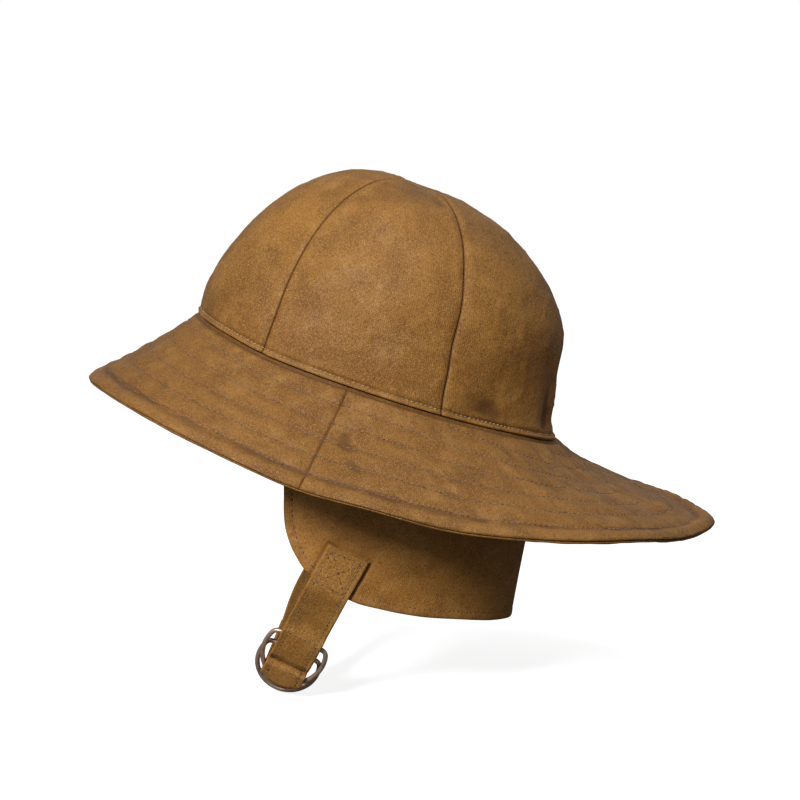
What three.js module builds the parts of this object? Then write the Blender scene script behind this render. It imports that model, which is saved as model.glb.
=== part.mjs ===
// A rain hat of waxed cotton cloth. Six gores make its crown. A stitched brim, two plies thick, runs
// round it in a front and a back half and is widest behind. A flap for the ears and the neck hangs
// inside the brim, and a chin strap in two pieces closes below it with two D-rings.
// Lengths are millimetres and angles degrees. The hat is drawn in its own frame: +Z up the crown, the
// face at -Y, the wearer's left at +X, the origin in the middle of the head opening. A group tips it
// back as it is worn.
// A turn is the angle round the crown from the middle of the front, and is positive towards the wearer's
// left.
import * as THREE from 'three';
import { mergeVertices } from 'three/addons/utils/BufferGeometryUtils.js';

// Crown and head opening
const HEAD_LENGTH = 209;
const HEAD_WIDTH = 173;
const CROWN_HEIGHT = 107;
const CROWN_WALL = 1.6;
const TIP_BACK = 20;
const GORE_BULGE = 1.5;

// Brim, measured along the cloth from the crown to the edge
const BRIM_FRONT = 69;
const BRIM_SIDE = 75;
const BRIM_BACK = 100;
const BRIM_PLY = 1.2;
const BRIM_SEAM_TURN = 85;

// Flap for the ears and the neck
const FLAP_DROP = 110;
const FLAP_WALL = 2;
const FLAP_TUCK = 7;
const FLAP_FLARE = 14;

// Chin strap: a short piece with a pocket for the rings on the left, a long one with a free tail from
// the right
const STRAP_WIDTH = 23.4;
const STRAP_WALL = 1.6;
const STRAP_TURN = 102;
const STRAP_LAP = 25.5;
const STRAP_START = 84.5;
const STRAP_SLANT = 8;
const STRAP_FALL = 56.8;
const SWING_IN = 29;
const SWING_FORWARD = 7.6;
const TAIL_LENGTH = 38;

// D-rings of round wire: an oval arc, closed by a straight bar that lies in the strap's pocket
const RING_WIRE = 2.7;
const RING_RADIUS = 16.9;
const RING_REACH = 21.5;
const RING_BAR_SETBACK = 10.5;
const RING_SHIFT = 11.8;
const RING_SPREAD = 2.2;
const POCKET_DEPTH = 20;

const GAP = 0.3;
const HALF_LENGTH = HEAD_LENGTH / 2;
const HALF_WIDTH = HEAD_WIDTH / 2;

// How far the edge of the head opening rises above its plane, as shares of the head's length
const OPENING_RISE = [
  { turn: 0, rise: 0.005 },
  { turn: 40, rise: 0 },
  { turn: 60, rise: -0.005 },
  { turn: 90, rise: 0.002 },
  { turn: 114, rise: 0.008 },
  { turn: 140, rise: 0.014 },
  { turn: 165, rise: 0.0105 },
  { turn: 180, rise: 0.005 },
];

// Level sections of the crown: the height as a share of the crown's, the reach to the front and the back
// as shares of the half length and to the sides of the half width, and the turns of the two seams on
// each side
const CROWN_LEVELS = [
  { up: 0, front: 1, back: 0.995, side: 1, seamFront: 56, seamBack: 113 },
  { up: 0.04, front: 1.004, back: 0.972, side: 1.006, seamFront: 56.5, seamBack: 113.5 },
  { up: 0.1, front: 1.006, back: 0.943, side: 1.006, seamFront: 57, seamBack: 114 },
  { up: 0.2, front: 0.998, back: 0.92, side: 0.995, seamFront: 57, seamBack: 114 },
  { up: 0.346, front: 0.963, back: 0.887, side: 0.967, seamFront: 55.5, seamBack: 113 },
  { up: 0.54, front: 0.888, back: 0.848, side: 0.905, seamFront: 53, seamBack: 111.5 },
  { up: 0.71, front: 0.783, back: 0.722, side: 0.81, seamFront: 51.5, seamBack: 111.5 },
  { up: 0.83, front: 0.675, back: 0.57, side: 0.71, seamFront: 51, seamBack: 113 },
  { up: 0.925, front: 0.545, back: 0.39, side: 0.57, seamFront: 51, seamBack: 115 },
  { up: 0.975, front: 0.425, back: 0.23, side: 0.44, seamFront: 50, seamBack: 118 },
  { up: 1, front: 0.3, back: 0.09, side: 0.29, seamFront: 50, seamBack: 121 },
  { up: 0.995, front: 0.19, back: -0.04, side: 0.12, seamFront: 50, seamBack: 122 },
  { up: 0.988, front: 0.125, back: -0.105, side: 0.012, seamFront: 50, seamBack: 122 },
];

// Soft hollows and folds of the crown: where each is, as a turn and a share of the crown's height, how
// far it spreads round and up, the slope at which it climbs, and its depth as a share of the half width
const CROWN_DENTS = [
  { turn: 142, up: 0.2, round: 17, tall: 0.15, climb: 0, deep: 0.03 },
  { turn: 96, up: 0.3, round: 16, tall: 0.12, climb: 0.004, deep: 0.014 },
  { turn: 40, up: 0.42, round: 8, tall: 0.3, climb: 0.012, deep: 0.012 },
  { turn: 78, up: 0.72, round: 22, tall: 0.1, climb: -0.004, deep: 0.01 },
  { turn: -60, up: 0.3, round: 20, tall: 0.15, climb: 0.004, deep: 0.014 },
  { turn: -128, up: 0.26, round: 16, tall: 0.16, climb: 0, deep: 0.02 },
];

// Slope of the brim below the opening's plane, in degrees: at the crown, in the middle of the brim and
// at its edge
const BRIM_SLOPES = [
  { turn: 0, root: 60, middle: 49, edge: 45 },
  { turn: 25, root: 56, middle: 43, edge: 38 },
  { turn: 50, root: 51, middle: 36, edge: 33 },
  { turn: 75, root: 49, middle: 35.5, edge: 37 },
  { turn: 90, root: 48, middle: 37, edge: 39 },
  { turn: 110, root: 42, middle: 32.5, edge: 33 },
  { turn: 130, root: 36, middle: 20, edge: 19 },
  { turn: 150, root: 32, middle: 7.5, edge: 5.5 },
  { turn: 165, root: 29, middle: 4, edge: 1.5 },
  { turn: 180, root: 28, middle: 2.5, edge: -2 },
];

// Waves of the brim: where each is, how far round it spreads, and its lift at the edge as a share of the
// side's width
const BRIM_WAVES = [
  { turn: 100, round: 9, lift: 0.014 },
  { turn: 80, round: 8, lift: -0.012 },
  { turn: 168, round: 6, lift: 0.02 },
  { turn: 154, round: 6, lift: -0.014 },
  { turn: -96, round: 9, lift: 0.016 },
  { turn: -152, round: 8, lift: -0.018 },
  { turn: 30, round: 10, lift: 0.012 },
  { turn: -40, round: 12, lift: 0.014 },
];

// Lower edge of the flap from its front corner to the middle of the neck: its depth as a share of the
// flap's drop, and how far the cloth swings outwards there, as a share of the flare
const FLAP_EDGE = [
  { turn: 74, depth: 0.5, swing: -0.9 },
  { turn: 76, depth: 0.58, swing: -0.9 },
  { turn: 78.6, depth: 0.7, swing: -0.9 },
  { turn: 80.7, depth: 0.765, swing: -0.88 },
  { turn: 85, depth: 0.85, swing: -0.87 },
  { turn: 92.5, depth: 0.938, swing: -0.82 },
  { turn: 108, depth: 1, swing: -0.62 },
  { turn: 118, depth: 1, swing: -0.45 },
  { turn: 132, depth: 0.988, swing: -0.15 },
  { turn: 148, depth: 0.955, swing: 0.32 },
  { turn: 161, depth: 0.935, swing: 0.74 },
  { turn: 180, depth: 0.92, swing: 1.12 },
];

// Steps of the short strap's pocket along the strap from its fold, and out from it, both as shares of
// the pocket's depth and of its half thickness; the cloth runs down the front, round the fold and up the
// back
const POCKET_STEPS = [
  { along: 1.7, out: 0, side: 'front' },
  { along: 1.46, out: 0.25, side: 'front' },
  { along: 1.25, out: 0.8, side: 'front' },
  { along: 1.13, out: 1, side: 'front' },
  { along: 0.31, out: 1, side: 'front' },
  { along: 0.21, out: 0.75, side: 'front' },
  { along: 0.12, out: 0.42, side: 'front' },
  { along: 0.055, out: 0.26, side: 'front' },
  { along: 0.04, out: 0, side: 'front' },
  { along: 0.055, out: 0.26, side: 'back' },
  { along: 0.12, out: 0.42, side: 'back' },
  { along: 0.21, out: 0.75, side: 'back' },
  { along: 0.31, out: 1, side: 'back' },
  { along: 1.13, out: 1, side: 'back' },
  { along: 1.25, out: 0.85, side: 'back' },
  { along: 1.46, out: 0.5, side: 'back' },
  { along: 1.65, out: 0.42, side: 'back' },
];

const radians = THREE.MathUtils.degToRad;
const smooth = (share) => THREE.MathUtils.smoothstep(share, 0, 1);
const bump = (distance, spread) => Math.exp(-((distance / spread) ** 2));
const vector = (x, y, z) => new THREE.Vector3(x, y, z);

// Value of a table's column between its rows, on a smooth curve that is level at the first and the last row
function lookUp(table, key, at, column) {
  const last = table.length - 1;
  const where = THREE.MathUtils.clamp(at, table[0][key], table[last][key]);
  let row = 0;
  while (row < last - 1 && where > table[row + 1][key]) row += 1;
  const from = table[row];
  const to = table[row + 1];
  const span = to[key] - from[key];
  const share = (where - from[key]) / span;
  const slope = (k) => (k <= 0 || k >= last ? 0
    : (table[k + 1][column] - table[k - 1][column]) / (table[k + 1][key] - table[k - 1][key]));
  const squared = share * share;
  const cubed = squared * share;
  return (2 * cubed - 3 * squared + 1) * from[column] + (cubed - 2 * squared + share) * span * slope(row)
    + (3 * squared - 2 * cubed) * to[column] + (cubed - squared) * span * slope(row + 1);
}

// Shortest angle from one turn to another
function turnBetween(from, to) {
  return THREE.MathUtils.euclideanModulo(to - from + 180, 360) - 180;
}

function openingRise(turn) {
  return HEAD_LENGTH * lookUp(OPENING_RISE, 'turn', Math.abs(turnBetween(0, turn)), 'rise');
}

// Point on the edge of the head opening
function openingPoint(turn) {
  const angle = radians(turn);
  return vector(HALF_WIDTH * Math.sin(angle), -HALF_LENGTH * Math.cos(angle), openingRise(turn));
}

// Level direction straight out from the head opening
function outward(turn) {
  const angle = radians(turn);
  return vector(Math.sin(angle) / HALF_WIDTH, -Math.cos(angle) / HALF_LENGTH, 0).normalize();
}

// Closed solid between two grids of points with the same rows and columns, front facing out
function solidBetween(front, back) {
  const rows = front.length;
  const columns = front[0].length;
  const positions = [];
  for (const row of [...front, ...back]) {
    for (const point of row) positions.push(...point.toArray());
  }
  const at = (layer, row, column) => (layer * rows + row) * columns + column;
  const index = [];
  const quad = (a, b, c, d) => index.push(a, b, c, a, c, d);
  for (let row = 0; row + 1 < rows; row += 1) {
    for (let column = 0; column + 1 < columns; column += 1) {
      quad(at(0, row, column), at(0, row, column + 1), at(0, row + 1, column + 1), at(0, row + 1, column));
      quad(at(1, row, column), at(1, row + 1, column), at(1, row + 1, column + 1), at(1, row, column + 1));
    }
    quad(at(0, row, 0), at(0, row + 1, 0), at(1, row + 1, 0), at(1, row, 0));
    const end = columns - 1;
    quad(at(0, row, end), at(1, row, end), at(1, row + 1, end), at(0, row + 1, end));
  }
  for (let column = 0; column + 1 < columns; column += 1) {
    quad(at(0, 0, column), at(1, 0, column), at(1, 0, column + 1), at(0, 0, column + 1));
    const low = rows - 1;
    quad(at(0, low, column), at(0, low, column + 1), at(1, low, column + 1), at(1, low, column));
  }
  const geometry = new THREE.BufferGeometry();
  geometry.setAttribute('position', new THREE.Float32BufferAttribute(positions, 3));
  geometry.setIndex(index);
  return geometry;
}

// Direction square to a grid at each point, on the side that the front of its solid faces
function gridNormals(grid) {
  const clampRow = (row) => grid[THREE.MathUtils.clamp(row, 0, grid.length - 1)];
  return grid.map((points, row) => points.map((_, column) => {
    const last = points.length - 1;
    const across = points[Math.min(column + 1, last)].clone().sub(points[Math.max(column - 1, 0)]);
    const down = clampRow(row + 1)[column].clone().sub(clampRow(row - 1)[column]);
    return across.cross(down).normalize();
  }));
}

// Grid moved along its own normals
function offsetGrid(grid, normals, distance) {
  return grid.map((points, row) => points.map((point, column) =>
    point.clone().addScaledVector(normals[row][column], distance)));
}

// Cloth of even thickness that lies on a grid: front and back say how far each face is from the grid
function clothOn(grid, front, back) {
  const normals = gridNormals(grid);
  return solidBetween(offsetGrid(grid, normals, front), offsetGrid(grid, normals, back));
}

// Point of the crown's outer face: the level is a place in the table's rows, and bulge is 0 on a seam
// and 1 between
function crownPoint(level, turn, bulge) {
  const { up, front, back, side } = level;
  const halfLength = (front + back) * HALF_LENGTH / 2;
  const middle = (back - front) * HALF_LENGTH / 2;
  const angle = radians(turn);
  const body = smooth(up / 0.2) * smooth(side / 0.6);
  let out = GORE_BULGE * bulge * body;
  for (const dent of CROWN_DENTS) {
    const away = turnBetween(dent.turn, turn);
    const above = up - dent.up - dent.climb * away;
    out -= HALF_WIDTH * dent.deep * body * bump(away, dent.round) * bump(above, dent.tall);
  }
  const point = vector(
    side * HALF_WIDTH * Math.sin(angle),
    middle - halfLength * Math.cos(angle),
    up * CROWN_HEIGHT + openingRise(turn) * Math.max(0, 1 - 3 * up),
  );
  return point.addScaledVector(outward(turn), out);
}

const GORE_COLUMNS = 8;

// One gore, from the seam named start to the seam named end
function crownGore(start, end) {
  const grid = [];
  for (const level of [...CROWN_LEVELS].reverse()) {
    const from = start(level);
    const to = end(level);
    const row = [];
    for (let column = 0; column <= GORE_COLUMNS; column += 1) {
      const share = column / GORE_COLUMNS;
      row.push(crownPoint(level, from + (to - from) * share, Math.sin(Math.PI * share)));
    }
    const step = row[1].clone().sub(row[0]).normalize();
    const stepBack = row[GORE_COLUMNS - 1].clone().sub(row[GORE_COLUMNS]).normalize();
    row[0].addScaledVector(step, GAP / 2);
    row[GORE_COLUMNS].addScaledVector(stepBack, GAP / 2);
    grid.push(row);
  }
  return clothOn(grid.map((row) => row.reverse()), 0, -CROWN_WALL);
}

// Width of the brim at a turn
function brimWidth(turn) {
  const away = Math.abs(turnBetween(0, turn));
  return away < 90 ? THREE.MathUtils.lerp(BRIM_FRONT, BRIM_SIDE, smooth(away / 90))
    : THREE.MathUtils.lerp(BRIM_SIDE, BRIM_BACK, smooth((away - 90) / 90));
}

const BRIM_STEPS = 7;
const BRIM_MIDDLE = 0.45;

// Slope of the brim in radians at a share of its width
function brimSlope(turn, share) {
  const away = Math.abs(turnBetween(0, turn));
  const slopes = ['root', 'middle', 'edge'].map((column) => lookUp(BRIM_SLOPES, 'turn', away, column));
  const degrees = share < BRIM_MIDDLE
    ? THREE.MathUtils.lerp(slopes[0], slopes[1], (share / BRIM_MIDDLE) ** 0.8)
    : THREE.MathUtils.lerp(slopes[1], slopes[2], ((share - BRIM_MIDDLE) / (1 - BRIM_MIDDLE)) ** 2);
  return radians(degrees);
}

// Points of the brim's top face from the crown to the edge
function brimRib(turn) {
  const out = outward(turn);
  const width = brimWidth(turn);
  const waves = BRIM_WAVES.map(({ turn: at, round, lift }) => lift * bump(turnBetween(at, turn), round));
  const wave = BRIM_SIDE * waves.reduce((sum, lift) => sum + lift, 0);
  const run = openingPoint(turn).add(vector(0, 0, -GAP));
  const points = [run.clone()];
  for (let step = 1; step <= BRIM_STEPS; step += 1) {
    const slope = brimSlope(turn, (step - 0.5) / BRIM_STEPS);
    run.addScaledVector(out, Math.cos(slope) * width / BRIM_STEPS);
    run.z -= Math.sin(slope) * width / BRIM_STEPS;
    points.push(run.clone().add(vector(0, 0, wave * (step / BRIM_STEPS) ** 2)));
  }
  return points;
}

// One ply of half the brim, between two turns; drop is the depth of its top face below the brim's own
function brimPly(fromTurn, toTurn, columns, drop) {
  const grid = [];
  for (let column = 0; column <= columns; column += 1) {
    grid.push(brimRib(fromTurn + (toTurn - fromTurn) * column / columns));
  }
  for (const [edge, next] of [[0, 1], [columns, columns - 1]]) {
    const steps = grid[edge].map((point, step) => grid[next][step].clone().sub(point).normalize());
    grid[edge].forEach((point, step) => point.addScaledVector(steps[step], GAP / 2));
  }
  const normals = gridNormals(grid);
  normals.forEach((row) => { row[0] = vector(0, 0, 1 / Math.max(0.3, row[0].z)); });
  return solidBetween(offsetGrid(grid, normals, -drop), offsetGrid(grid, normals, -drop - BRIM_PLY));
}

// Point inside the crown's wall near its foot, clear of the wall
function insideCrown(turn, height) {
  const columns = ['front', 'back', 'side'];
  const wallPoint = (up) => {
    const cells = columns.map((column) => [column, lookUp(CROWN_LEVELS, 'up', up, column)]);
    const level = Object.fromEntries(cells);
    return crownPoint({ up, ...level }, turn, 0);
  };
  const up = height / CROWN_HEIGHT;
  const point = wallPoint(up);
  const climb = wallPoint(up + 0.02).sub(point);
  const inward = climb.cross(outward(turn).cross(vector(0, 0, 1))).normalize();
  return point.addScaledVector(inward, -Math.sign(inward.dot(outward(turn))) * (CROWN_WALL + 2 * GAP));
}

// Point of the flap's outer face at a height above the opening's plane
function flapPoint(turn, height) {
  if (height > 0) return insideCrown(turn, height);
  const out = outward(turn);
  const depth = Math.max(0, -height) / FLAP_DROP;
  const swing = FLAP_FLARE * depth ** 1.3
    * lookUp(FLAP_EDGE, 'turn', Math.abs(turnBetween(0, turn)), 'swing');
  return openingPoint(turn).addScaledVector(out, swing - CROWN_WALL - GAP).add(vector(0, 0, height));
}

const FLAP_COLUMNS = 38;
const FLAP_ROWS = 8;

function neckFlap() {
  const grid = [];
  const first = FLAP_EDGE[0].turn;
  for (let row = 0; row <= FLAP_ROWS; row += 1) {
    const points = [];
    for (let column = 0; column <= FLAP_COLUMNS; column += 1) {
      const half = column / FLAP_COLUMNS * 2 - 1;
      const turn = 180 + Math.sign(half) * (180 - first) * (1 - (1 - Math.abs(half)) ** 1.35);
      const lowest = FLAP_DROP * lookUp(FLAP_EDGE, 'turn', Math.abs(turnBetween(0, turn)), 'depth');
      points.push(flapPoint(turn, THREE.MathUtils.lerp(FLAP_TUCK, -lowest, row / FLAP_ROWS)));
    }
    grid.push(points.reverse());
  }
  return clothOn(grid, 0, -FLAP_WALL);
}

const STRAP_COLUMNS = 4;

// Middle of the strap's cloth where it lies on the flap: across from its centre line and down from its
// end; side is 1 on the wearer's left and -1 on the right
function strapOnFlap(across, down, side) {
  const slant = radians(STRAP_SLANT);
  const round = across * Math.cos(slant) - down * Math.sin(slant);
  const height = -STRAP_START - down * Math.cos(slant) - across * Math.sin(slant);
  const perDegree = flapPoint(STRAP_TURN + 1, height).distanceTo(flapPoint(STRAP_TURN, height));
  const turn = STRAP_TURN + round / perDegree;
  const point = flapPoint(turn, height);
  const along = flapPoint(turn + 1, height).sub(point);
  const below = flapPoint(turn, height - 1).sub(point);
  point.addScaledVector(below.cross(along).normalize(), GAP + STRAP_WALL / 2);
  return vector(point.x * side, point.y, point.z);
}

// Frame of the strap below the left ear: down along the strap, across it to the back, and out from the
// wearer
const strapDown = vector(-Math.tan(radians(SWING_IN)), -Math.tan(radians(SWING_FORWARD)), -1).normalize();
const strapAcross = vector(0, 1, 0).addScaledVector(strapDown, -strapDown.y).normalize();
const strapOut = strapDown.clone().cross(strapAcross);
const strapFold = strapOnFlap(0, STRAP_LAP, 1).addScaledVector(strapDown, STRAP_FALL);

function atFold(down, out, across) {
  return strapFold.clone().addScaledVector(strapDown, down).addScaledVector(strapOut, out)
    .addScaledVector(strapAcross, across);
}

// Places across and along the pocket: the rings lie in its middle, one behind the other
const ringOffset = (RING_WIRE + 2 * GAP) / 2;
const pocketHalf = ringOffset + RING_WIRE / 2 + GAP + STRAP_WALL / 2;
const pocketMiddle = -pocketHalf / 4;
const frontRing = { bar: -POCKET_DEPTH, out: pocketMiddle + ringOffset, lean: RING_SPREAD };
const backRing = { bar: RING_SHIFT - POCKET_DEPTH, out: pocketMiddle - ringOffset, lean: -RING_SPREAD };

const acrossAt = (column) => STRAP_WIDTH * (column / STRAP_COLUMNS - 0.5);

function strapRow(pointAt) {
  return Array.from({ length: STRAP_COLUMNS + 1 }, (_, column) => pointAt(acrossAt(column)));
}

// Short strap: sewn on the left ear, it falls to the rings and folds back behind their bars
function ringStrap() {
  const grid = [];
  const lapSteps = 3;
  for (let step = 0; step <= lapSteps; step += 1) {
    grid.push(strapRow((across) => strapOnFlap(across, STRAP_LAP * step / lapSteps, 1)));
  }
  const pocketLength = POCKET_STEPS[0].along * POCKET_DEPTH;
  for (const share of [0.25, 0.6]) {
    const above = THREE.MathUtils.lerp(STRAP_FALL, pocketLength, share);
    grid.push(strapRow((across) => atFold(-above, 0, across)));
  }
  for (const { along, out, side } of POCKET_STEPS) {
    const middle = side === 'front' ? pocketMiddle * out : pocketMiddle;
    const reach = side === 'front' ? pocketHalf : -pocketHalf;
    grid.push(strapRow((across) => atFold(-along * POCKET_DEPTH, middle + reach * out, across)));
  }
  return clothOn(grid, STRAP_WALL / 2, -STRAP_WALL / 2);
}

// Long strap: sewn on the right ear, it goes through both rings, round the front ring's arc, and back
// through the other
function longStrap() {
  const grid = [];
  const lapSteps = 3;
  for (let step = 0; step <= lapSteps; step += 1) {
    grid.push(strapRow((across) => strapOnFlap(across, STRAP_LAP * step / lapSteps, -1)));
  }
  const arcCentre = frontRing.bar + RING_BAR_SETBACK;
  const hug = (across) => arcCentre + RING_REACH * Math.sqrt(1 - (across / RING_RADIUS) ** 2);
  const steepness = (across) => {
    const rise = RING_REACH * across / (RING_RADIUS * Math.sqrt(RING_RADIUS ** 2 - across ** 2));
    return 1 / Math.hypot(1, rise);
  };
  const lean = Math.tan(radians(RING_SPREAD));
  const wrap = RING_WIRE / 2 + GAP + STRAP_WALL / 2;
  const wireOut = frontRing.out + (arcCentre + RING_REACH - frontRing.bar) * lean;
  const clear = GAP + STRAP_WALL / 2;
  const entry = [
    { down: 5, out: -36 }, { down: 3.4, out: -18 }, { down: 1.9, out: -9 }, { down: clear, out: -3.5 },
    { down: clear, out: 0 }, { down: clear + 0.4, out: wireOut + wrap * 0.75 },
  ];
  const farHem = strapRow((across) => strapOnFlap(across, STRAP_LAP, -1));
  const ringSide = strapRow((across) => atFold(entry[0].down, entry[0].out, across));
  for (const share of [0.2, 0.4, 0.6, 0.8]) {
    const forward = -0.035 * HALF_LENGTH * Math.sin(Math.PI * share);
    grid.push(farHem.map((point, column) =>
      point.clone().lerp(ringSide[column], share).add(vector(0, forward, 0))));
  }
  for (const { down, out } of entry) grid.push(strapRow((across) => atFold(down, out, across)));
  for (const rise of [0.55, 0.2]) {
    grid.push(strapRow((across) => atFold(hug(across) - (hug(0) - clear) * rise * hug(across) / hug(0),
      wireOut + wrap, across)));
  }
  for (const angle of [0, 25, 50, 75, 100, 125, 150]) {
    grid.push(strapRow((across) => atFold(hug(across) + wrap * Math.sin(radians(angle)) / steepness(across),
      wireOut + wrap * Math.cos(radians(angle)), across)));
  }
  for (const { back, rise, level } of [
    { back: 0.08, rise: 0.6, level: 0 },
    { back: 0.16, rise: 1.3, level: 0.1 },
    { back: 0.3, rise: 1.8, level: 0.35 },
    { back: 0.55, rise: 2.6, level: 0.8 },
    { back: 1, rise: 3, level: 1 },
  ]) {
    grid.push(strapRow((across) => atFold(THREE.MathUtils.lerp(hug(across), hug(0), level) - rise,
      wireOut - wrap - back * TAIL_LENGTH, across)));
  }
  return clothOn(grid, STRAP_WALL / 2, -STRAP_WALL / 2);
}

const RING_ARC_STEPS = 20;
const RING_SIDES = 8;

// Closed round wire along points in one plane; square is the direction square to that plane
function closedWire(points, square, radius) {
  const count = points.length;
  const positions = [];
  const index = [];
  points.forEach((point, k) => {
    const tangent = points[(k + 1) % count].clone().sub(points[(k + count - 1) % count]).normalize();
    const side = tangent.clone().cross(square);
    for (let s = 0; s < RING_SIDES; s += 1) {
      const angle = 2 * Math.PI * s / RING_SIDES;
      positions.push(...point.clone().addScaledVector(side, radius * Math.cos(angle))
        .addScaledVector(square, radius * Math.sin(angle)).toArray());
      const next = (k + 1) % count;
      const turned = (s + 1) % RING_SIDES;
      const [a, b, c, d] = [k * RING_SIDES + s, next * RING_SIDES + s, next * RING_SIDES + turned,
        k * RING_SIDES + turned];
      index.push(a, b, c, a, c, d);
    }
  });
  const geometry = new THREE.BufferGeometry();
  geometry.setAttribute('position', new THREE.Float32BufferAttribute(positions, 3));
  geometry.setIndex(index);
  return geometry;
}

function dRing({ bar, out, lean }) {
  const down = strapDown.clone().applyAxisAngle(strapAcross, -radians(lean));
  const square = down.clone().cross(strapAcross);
  const barMiddle = atFold(bar, out, 0);
  const start = -Math.asin(RING_BAR_SETBACK / RING_REACH);
  const halfBar = RING_RADIUS * Math.cos(start);
  const place = (across, fall) =>
    barMiddle.clone().addScaledVector(strapAcross, across).addScaledVector(down, fall);
  const points = [];
  for (let step = 0; step <= RING_ARC_STEPS; step += 1) {
    const angle = THREE.MathUtils.lerp(start, Math.PI - start, step / RING_ARC_STEPS);
    points.push(place(RING_RADIUS * Math.cos(angle), RING_BAR_SETBACK + RING_REACH * Math.sin(angle)));
  }
  for (const share of [0.6, -0.6]) points.push(place(-halfBar * share, 0));
  return closedWire(points, square, RING_WIRE / 2);
}

const WAXED_CLOTH = { color: 0x8b5e2a, roughness: 0.72, metalness: 0 };
const UNDER_CLOTH = { color: 0x6e4a22, roughness: 0.8, metalness: 0 };
const BRONZE = { color: 0xb4967a, roughness: 0.35, metalness: 1 };

const hat = new THREE.Group();
hat.rotation.x = -radians(TIP_BACK);

function addPiece(name, geometry, finish) {
  geometry.deleteAttribute('normal');
  geometry.deleteAttribute('uv');
  const merged = mergeVertices(geometry, 1e-3);
  merged.computeVertexNormals();
  const mesh = new THREE.Mesh(merged, new THREE.MeshStandardMaterial(finish));
  mesh.name = name;
  hat.add(mesh);
}

const GORES = [
  ['crown_gore_front_left', () => 0, (level) => level.seamFront],
  ['crown_gore_side_left', (level) => level.seamFront, (level) => level.seamBack],
  ['crown_gore_back_left', (level) => level.seamBack, () => 180],
  ['crown_gore_back_right', () => 180, (level) => 360 - level.seamBack],
  ['crown_gore_side_right', (level) => 360 - level.seamBack, (level) => 360 - level.seamFront],
  ['crown_gore_front_right', (level) => 360 - level.seamFront, () => 360],
];
for (const [name, start, end] of GORES) addPiece(name, crownGore(start, end), WAXED_CLOTH);

const BRIM_COLUMNS = 30;
const underDrop = BRIM_PLY + GAP;
const brimHalves = [
  ['brim_front', -BRIM_SEAM_TURN, BRIM_SEAM_TURN],
  ['brim_back', BRIM_SEAM_TURN, 360 - BRIM_SEAM_TURN],
];
for (const [name, from, to] of brimHalves) {
  addPiece(`${name}_top`, brimPly(from, to, BRIM_COLUMNS, 0), WAXED_CLOTH);
  addPiece(`${name}_under`, brimPly(from, to, BRIM_COLUMNS, underDrop), UNDER_CLOTH);
}

addPiece('neck_flap', neckFlap(), WAXED_CLOTH);
addPiece('ring_strap', ringStrap(), WAXED_CLOTH);
addPiece('long_strap', longStrap(), WAXED_CLOTH);
addPiece('d_ring_front', dRing(frontRing), BRONZE);
addPiece('d_ring_back', dRing(backRing), BRONZE);

const part = new THREE.Group();
part.add(hat);

export default part;
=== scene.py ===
"""Dresses the frame of a sou wester hat: waxed cloth, stitching, chin strap and D-rings.

The hat is drawn in its own frame, in millimetres: +Z up the crown, the face at -Y, the wearer's left at +X,
the origin in the middle of the head opening. It is then tipped back as it is worn. A turn is the angle round
the crown from the middle of the front, in degrees, and is positive towards the wearer's left.
"""
import itertools
import logging
import math
from dataclasses import dataclass, field
from enum import Enum

import bpy
import numpy as np
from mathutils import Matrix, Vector


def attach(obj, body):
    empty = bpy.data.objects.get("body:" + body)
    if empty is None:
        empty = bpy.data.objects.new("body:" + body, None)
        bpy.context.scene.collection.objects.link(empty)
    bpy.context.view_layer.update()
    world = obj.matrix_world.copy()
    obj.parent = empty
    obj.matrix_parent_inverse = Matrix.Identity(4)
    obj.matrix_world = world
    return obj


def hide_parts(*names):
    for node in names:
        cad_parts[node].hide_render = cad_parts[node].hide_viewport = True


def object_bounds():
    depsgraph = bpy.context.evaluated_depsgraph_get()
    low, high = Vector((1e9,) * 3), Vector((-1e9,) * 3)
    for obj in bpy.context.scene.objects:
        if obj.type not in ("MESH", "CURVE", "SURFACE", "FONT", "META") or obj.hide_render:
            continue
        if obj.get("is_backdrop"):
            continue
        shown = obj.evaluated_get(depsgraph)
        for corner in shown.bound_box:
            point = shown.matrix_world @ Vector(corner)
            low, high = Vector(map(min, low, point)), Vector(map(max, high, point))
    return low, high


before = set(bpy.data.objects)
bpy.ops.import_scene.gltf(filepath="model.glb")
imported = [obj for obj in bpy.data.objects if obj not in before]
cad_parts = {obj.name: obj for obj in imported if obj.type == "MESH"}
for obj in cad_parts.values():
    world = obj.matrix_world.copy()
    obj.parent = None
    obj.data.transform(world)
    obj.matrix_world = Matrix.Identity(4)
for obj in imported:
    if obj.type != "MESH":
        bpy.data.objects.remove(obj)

log = logging.getLogger("hat")

Table = dict[str, tuple[float, ...]]
Colour = tuple[float, float, float, float]
Material = bpy.types.Material
Node = bpy.types.Node
NodeTree = bpy.types.NodeTree
Piece = bpy.types.Object
Socket = bpy.types.NodeSocket


def table(columns: str, *rows: tuple[float, ...]) -> Table:
    """Makes a table from the names of its columns and from its rows."""
    return dict(zip(columns.split(), zip(*rows)))


# How far the hat is tipped back as it is worn
TIP_BACK = math.radians(20)

# The gap between pieces, in millimetres, and that between hat and floor, in metres
GAP = 0.3
FLOOR_GAP = 0.002

# An edge of cloth: the share of the wall over which it is rounded, and the share left at the very edge
EDGE_ROUND = 0.7
EDGE_WALL = 0.15

# How far the weave on the back of a cloth is shifted against that on its front
BACK_WEAVE = 3

# How far stitches stand out of brim, crown and flap, in millimetres
STITCH_LIFT = 0.05

# Rings of one stitch: place as a share of half its run, thickness and rise as shares of half its thickness
STITCH_RINGS = table(
    "along thick rise",
    (-1, 0.3, -0.75),
    (-0.7, 0.85, -0.02),
    (0, 1, 0.3),
    (0.7, 0.85, -0.02),
    (1, 0.3, -0.75),
)

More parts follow.
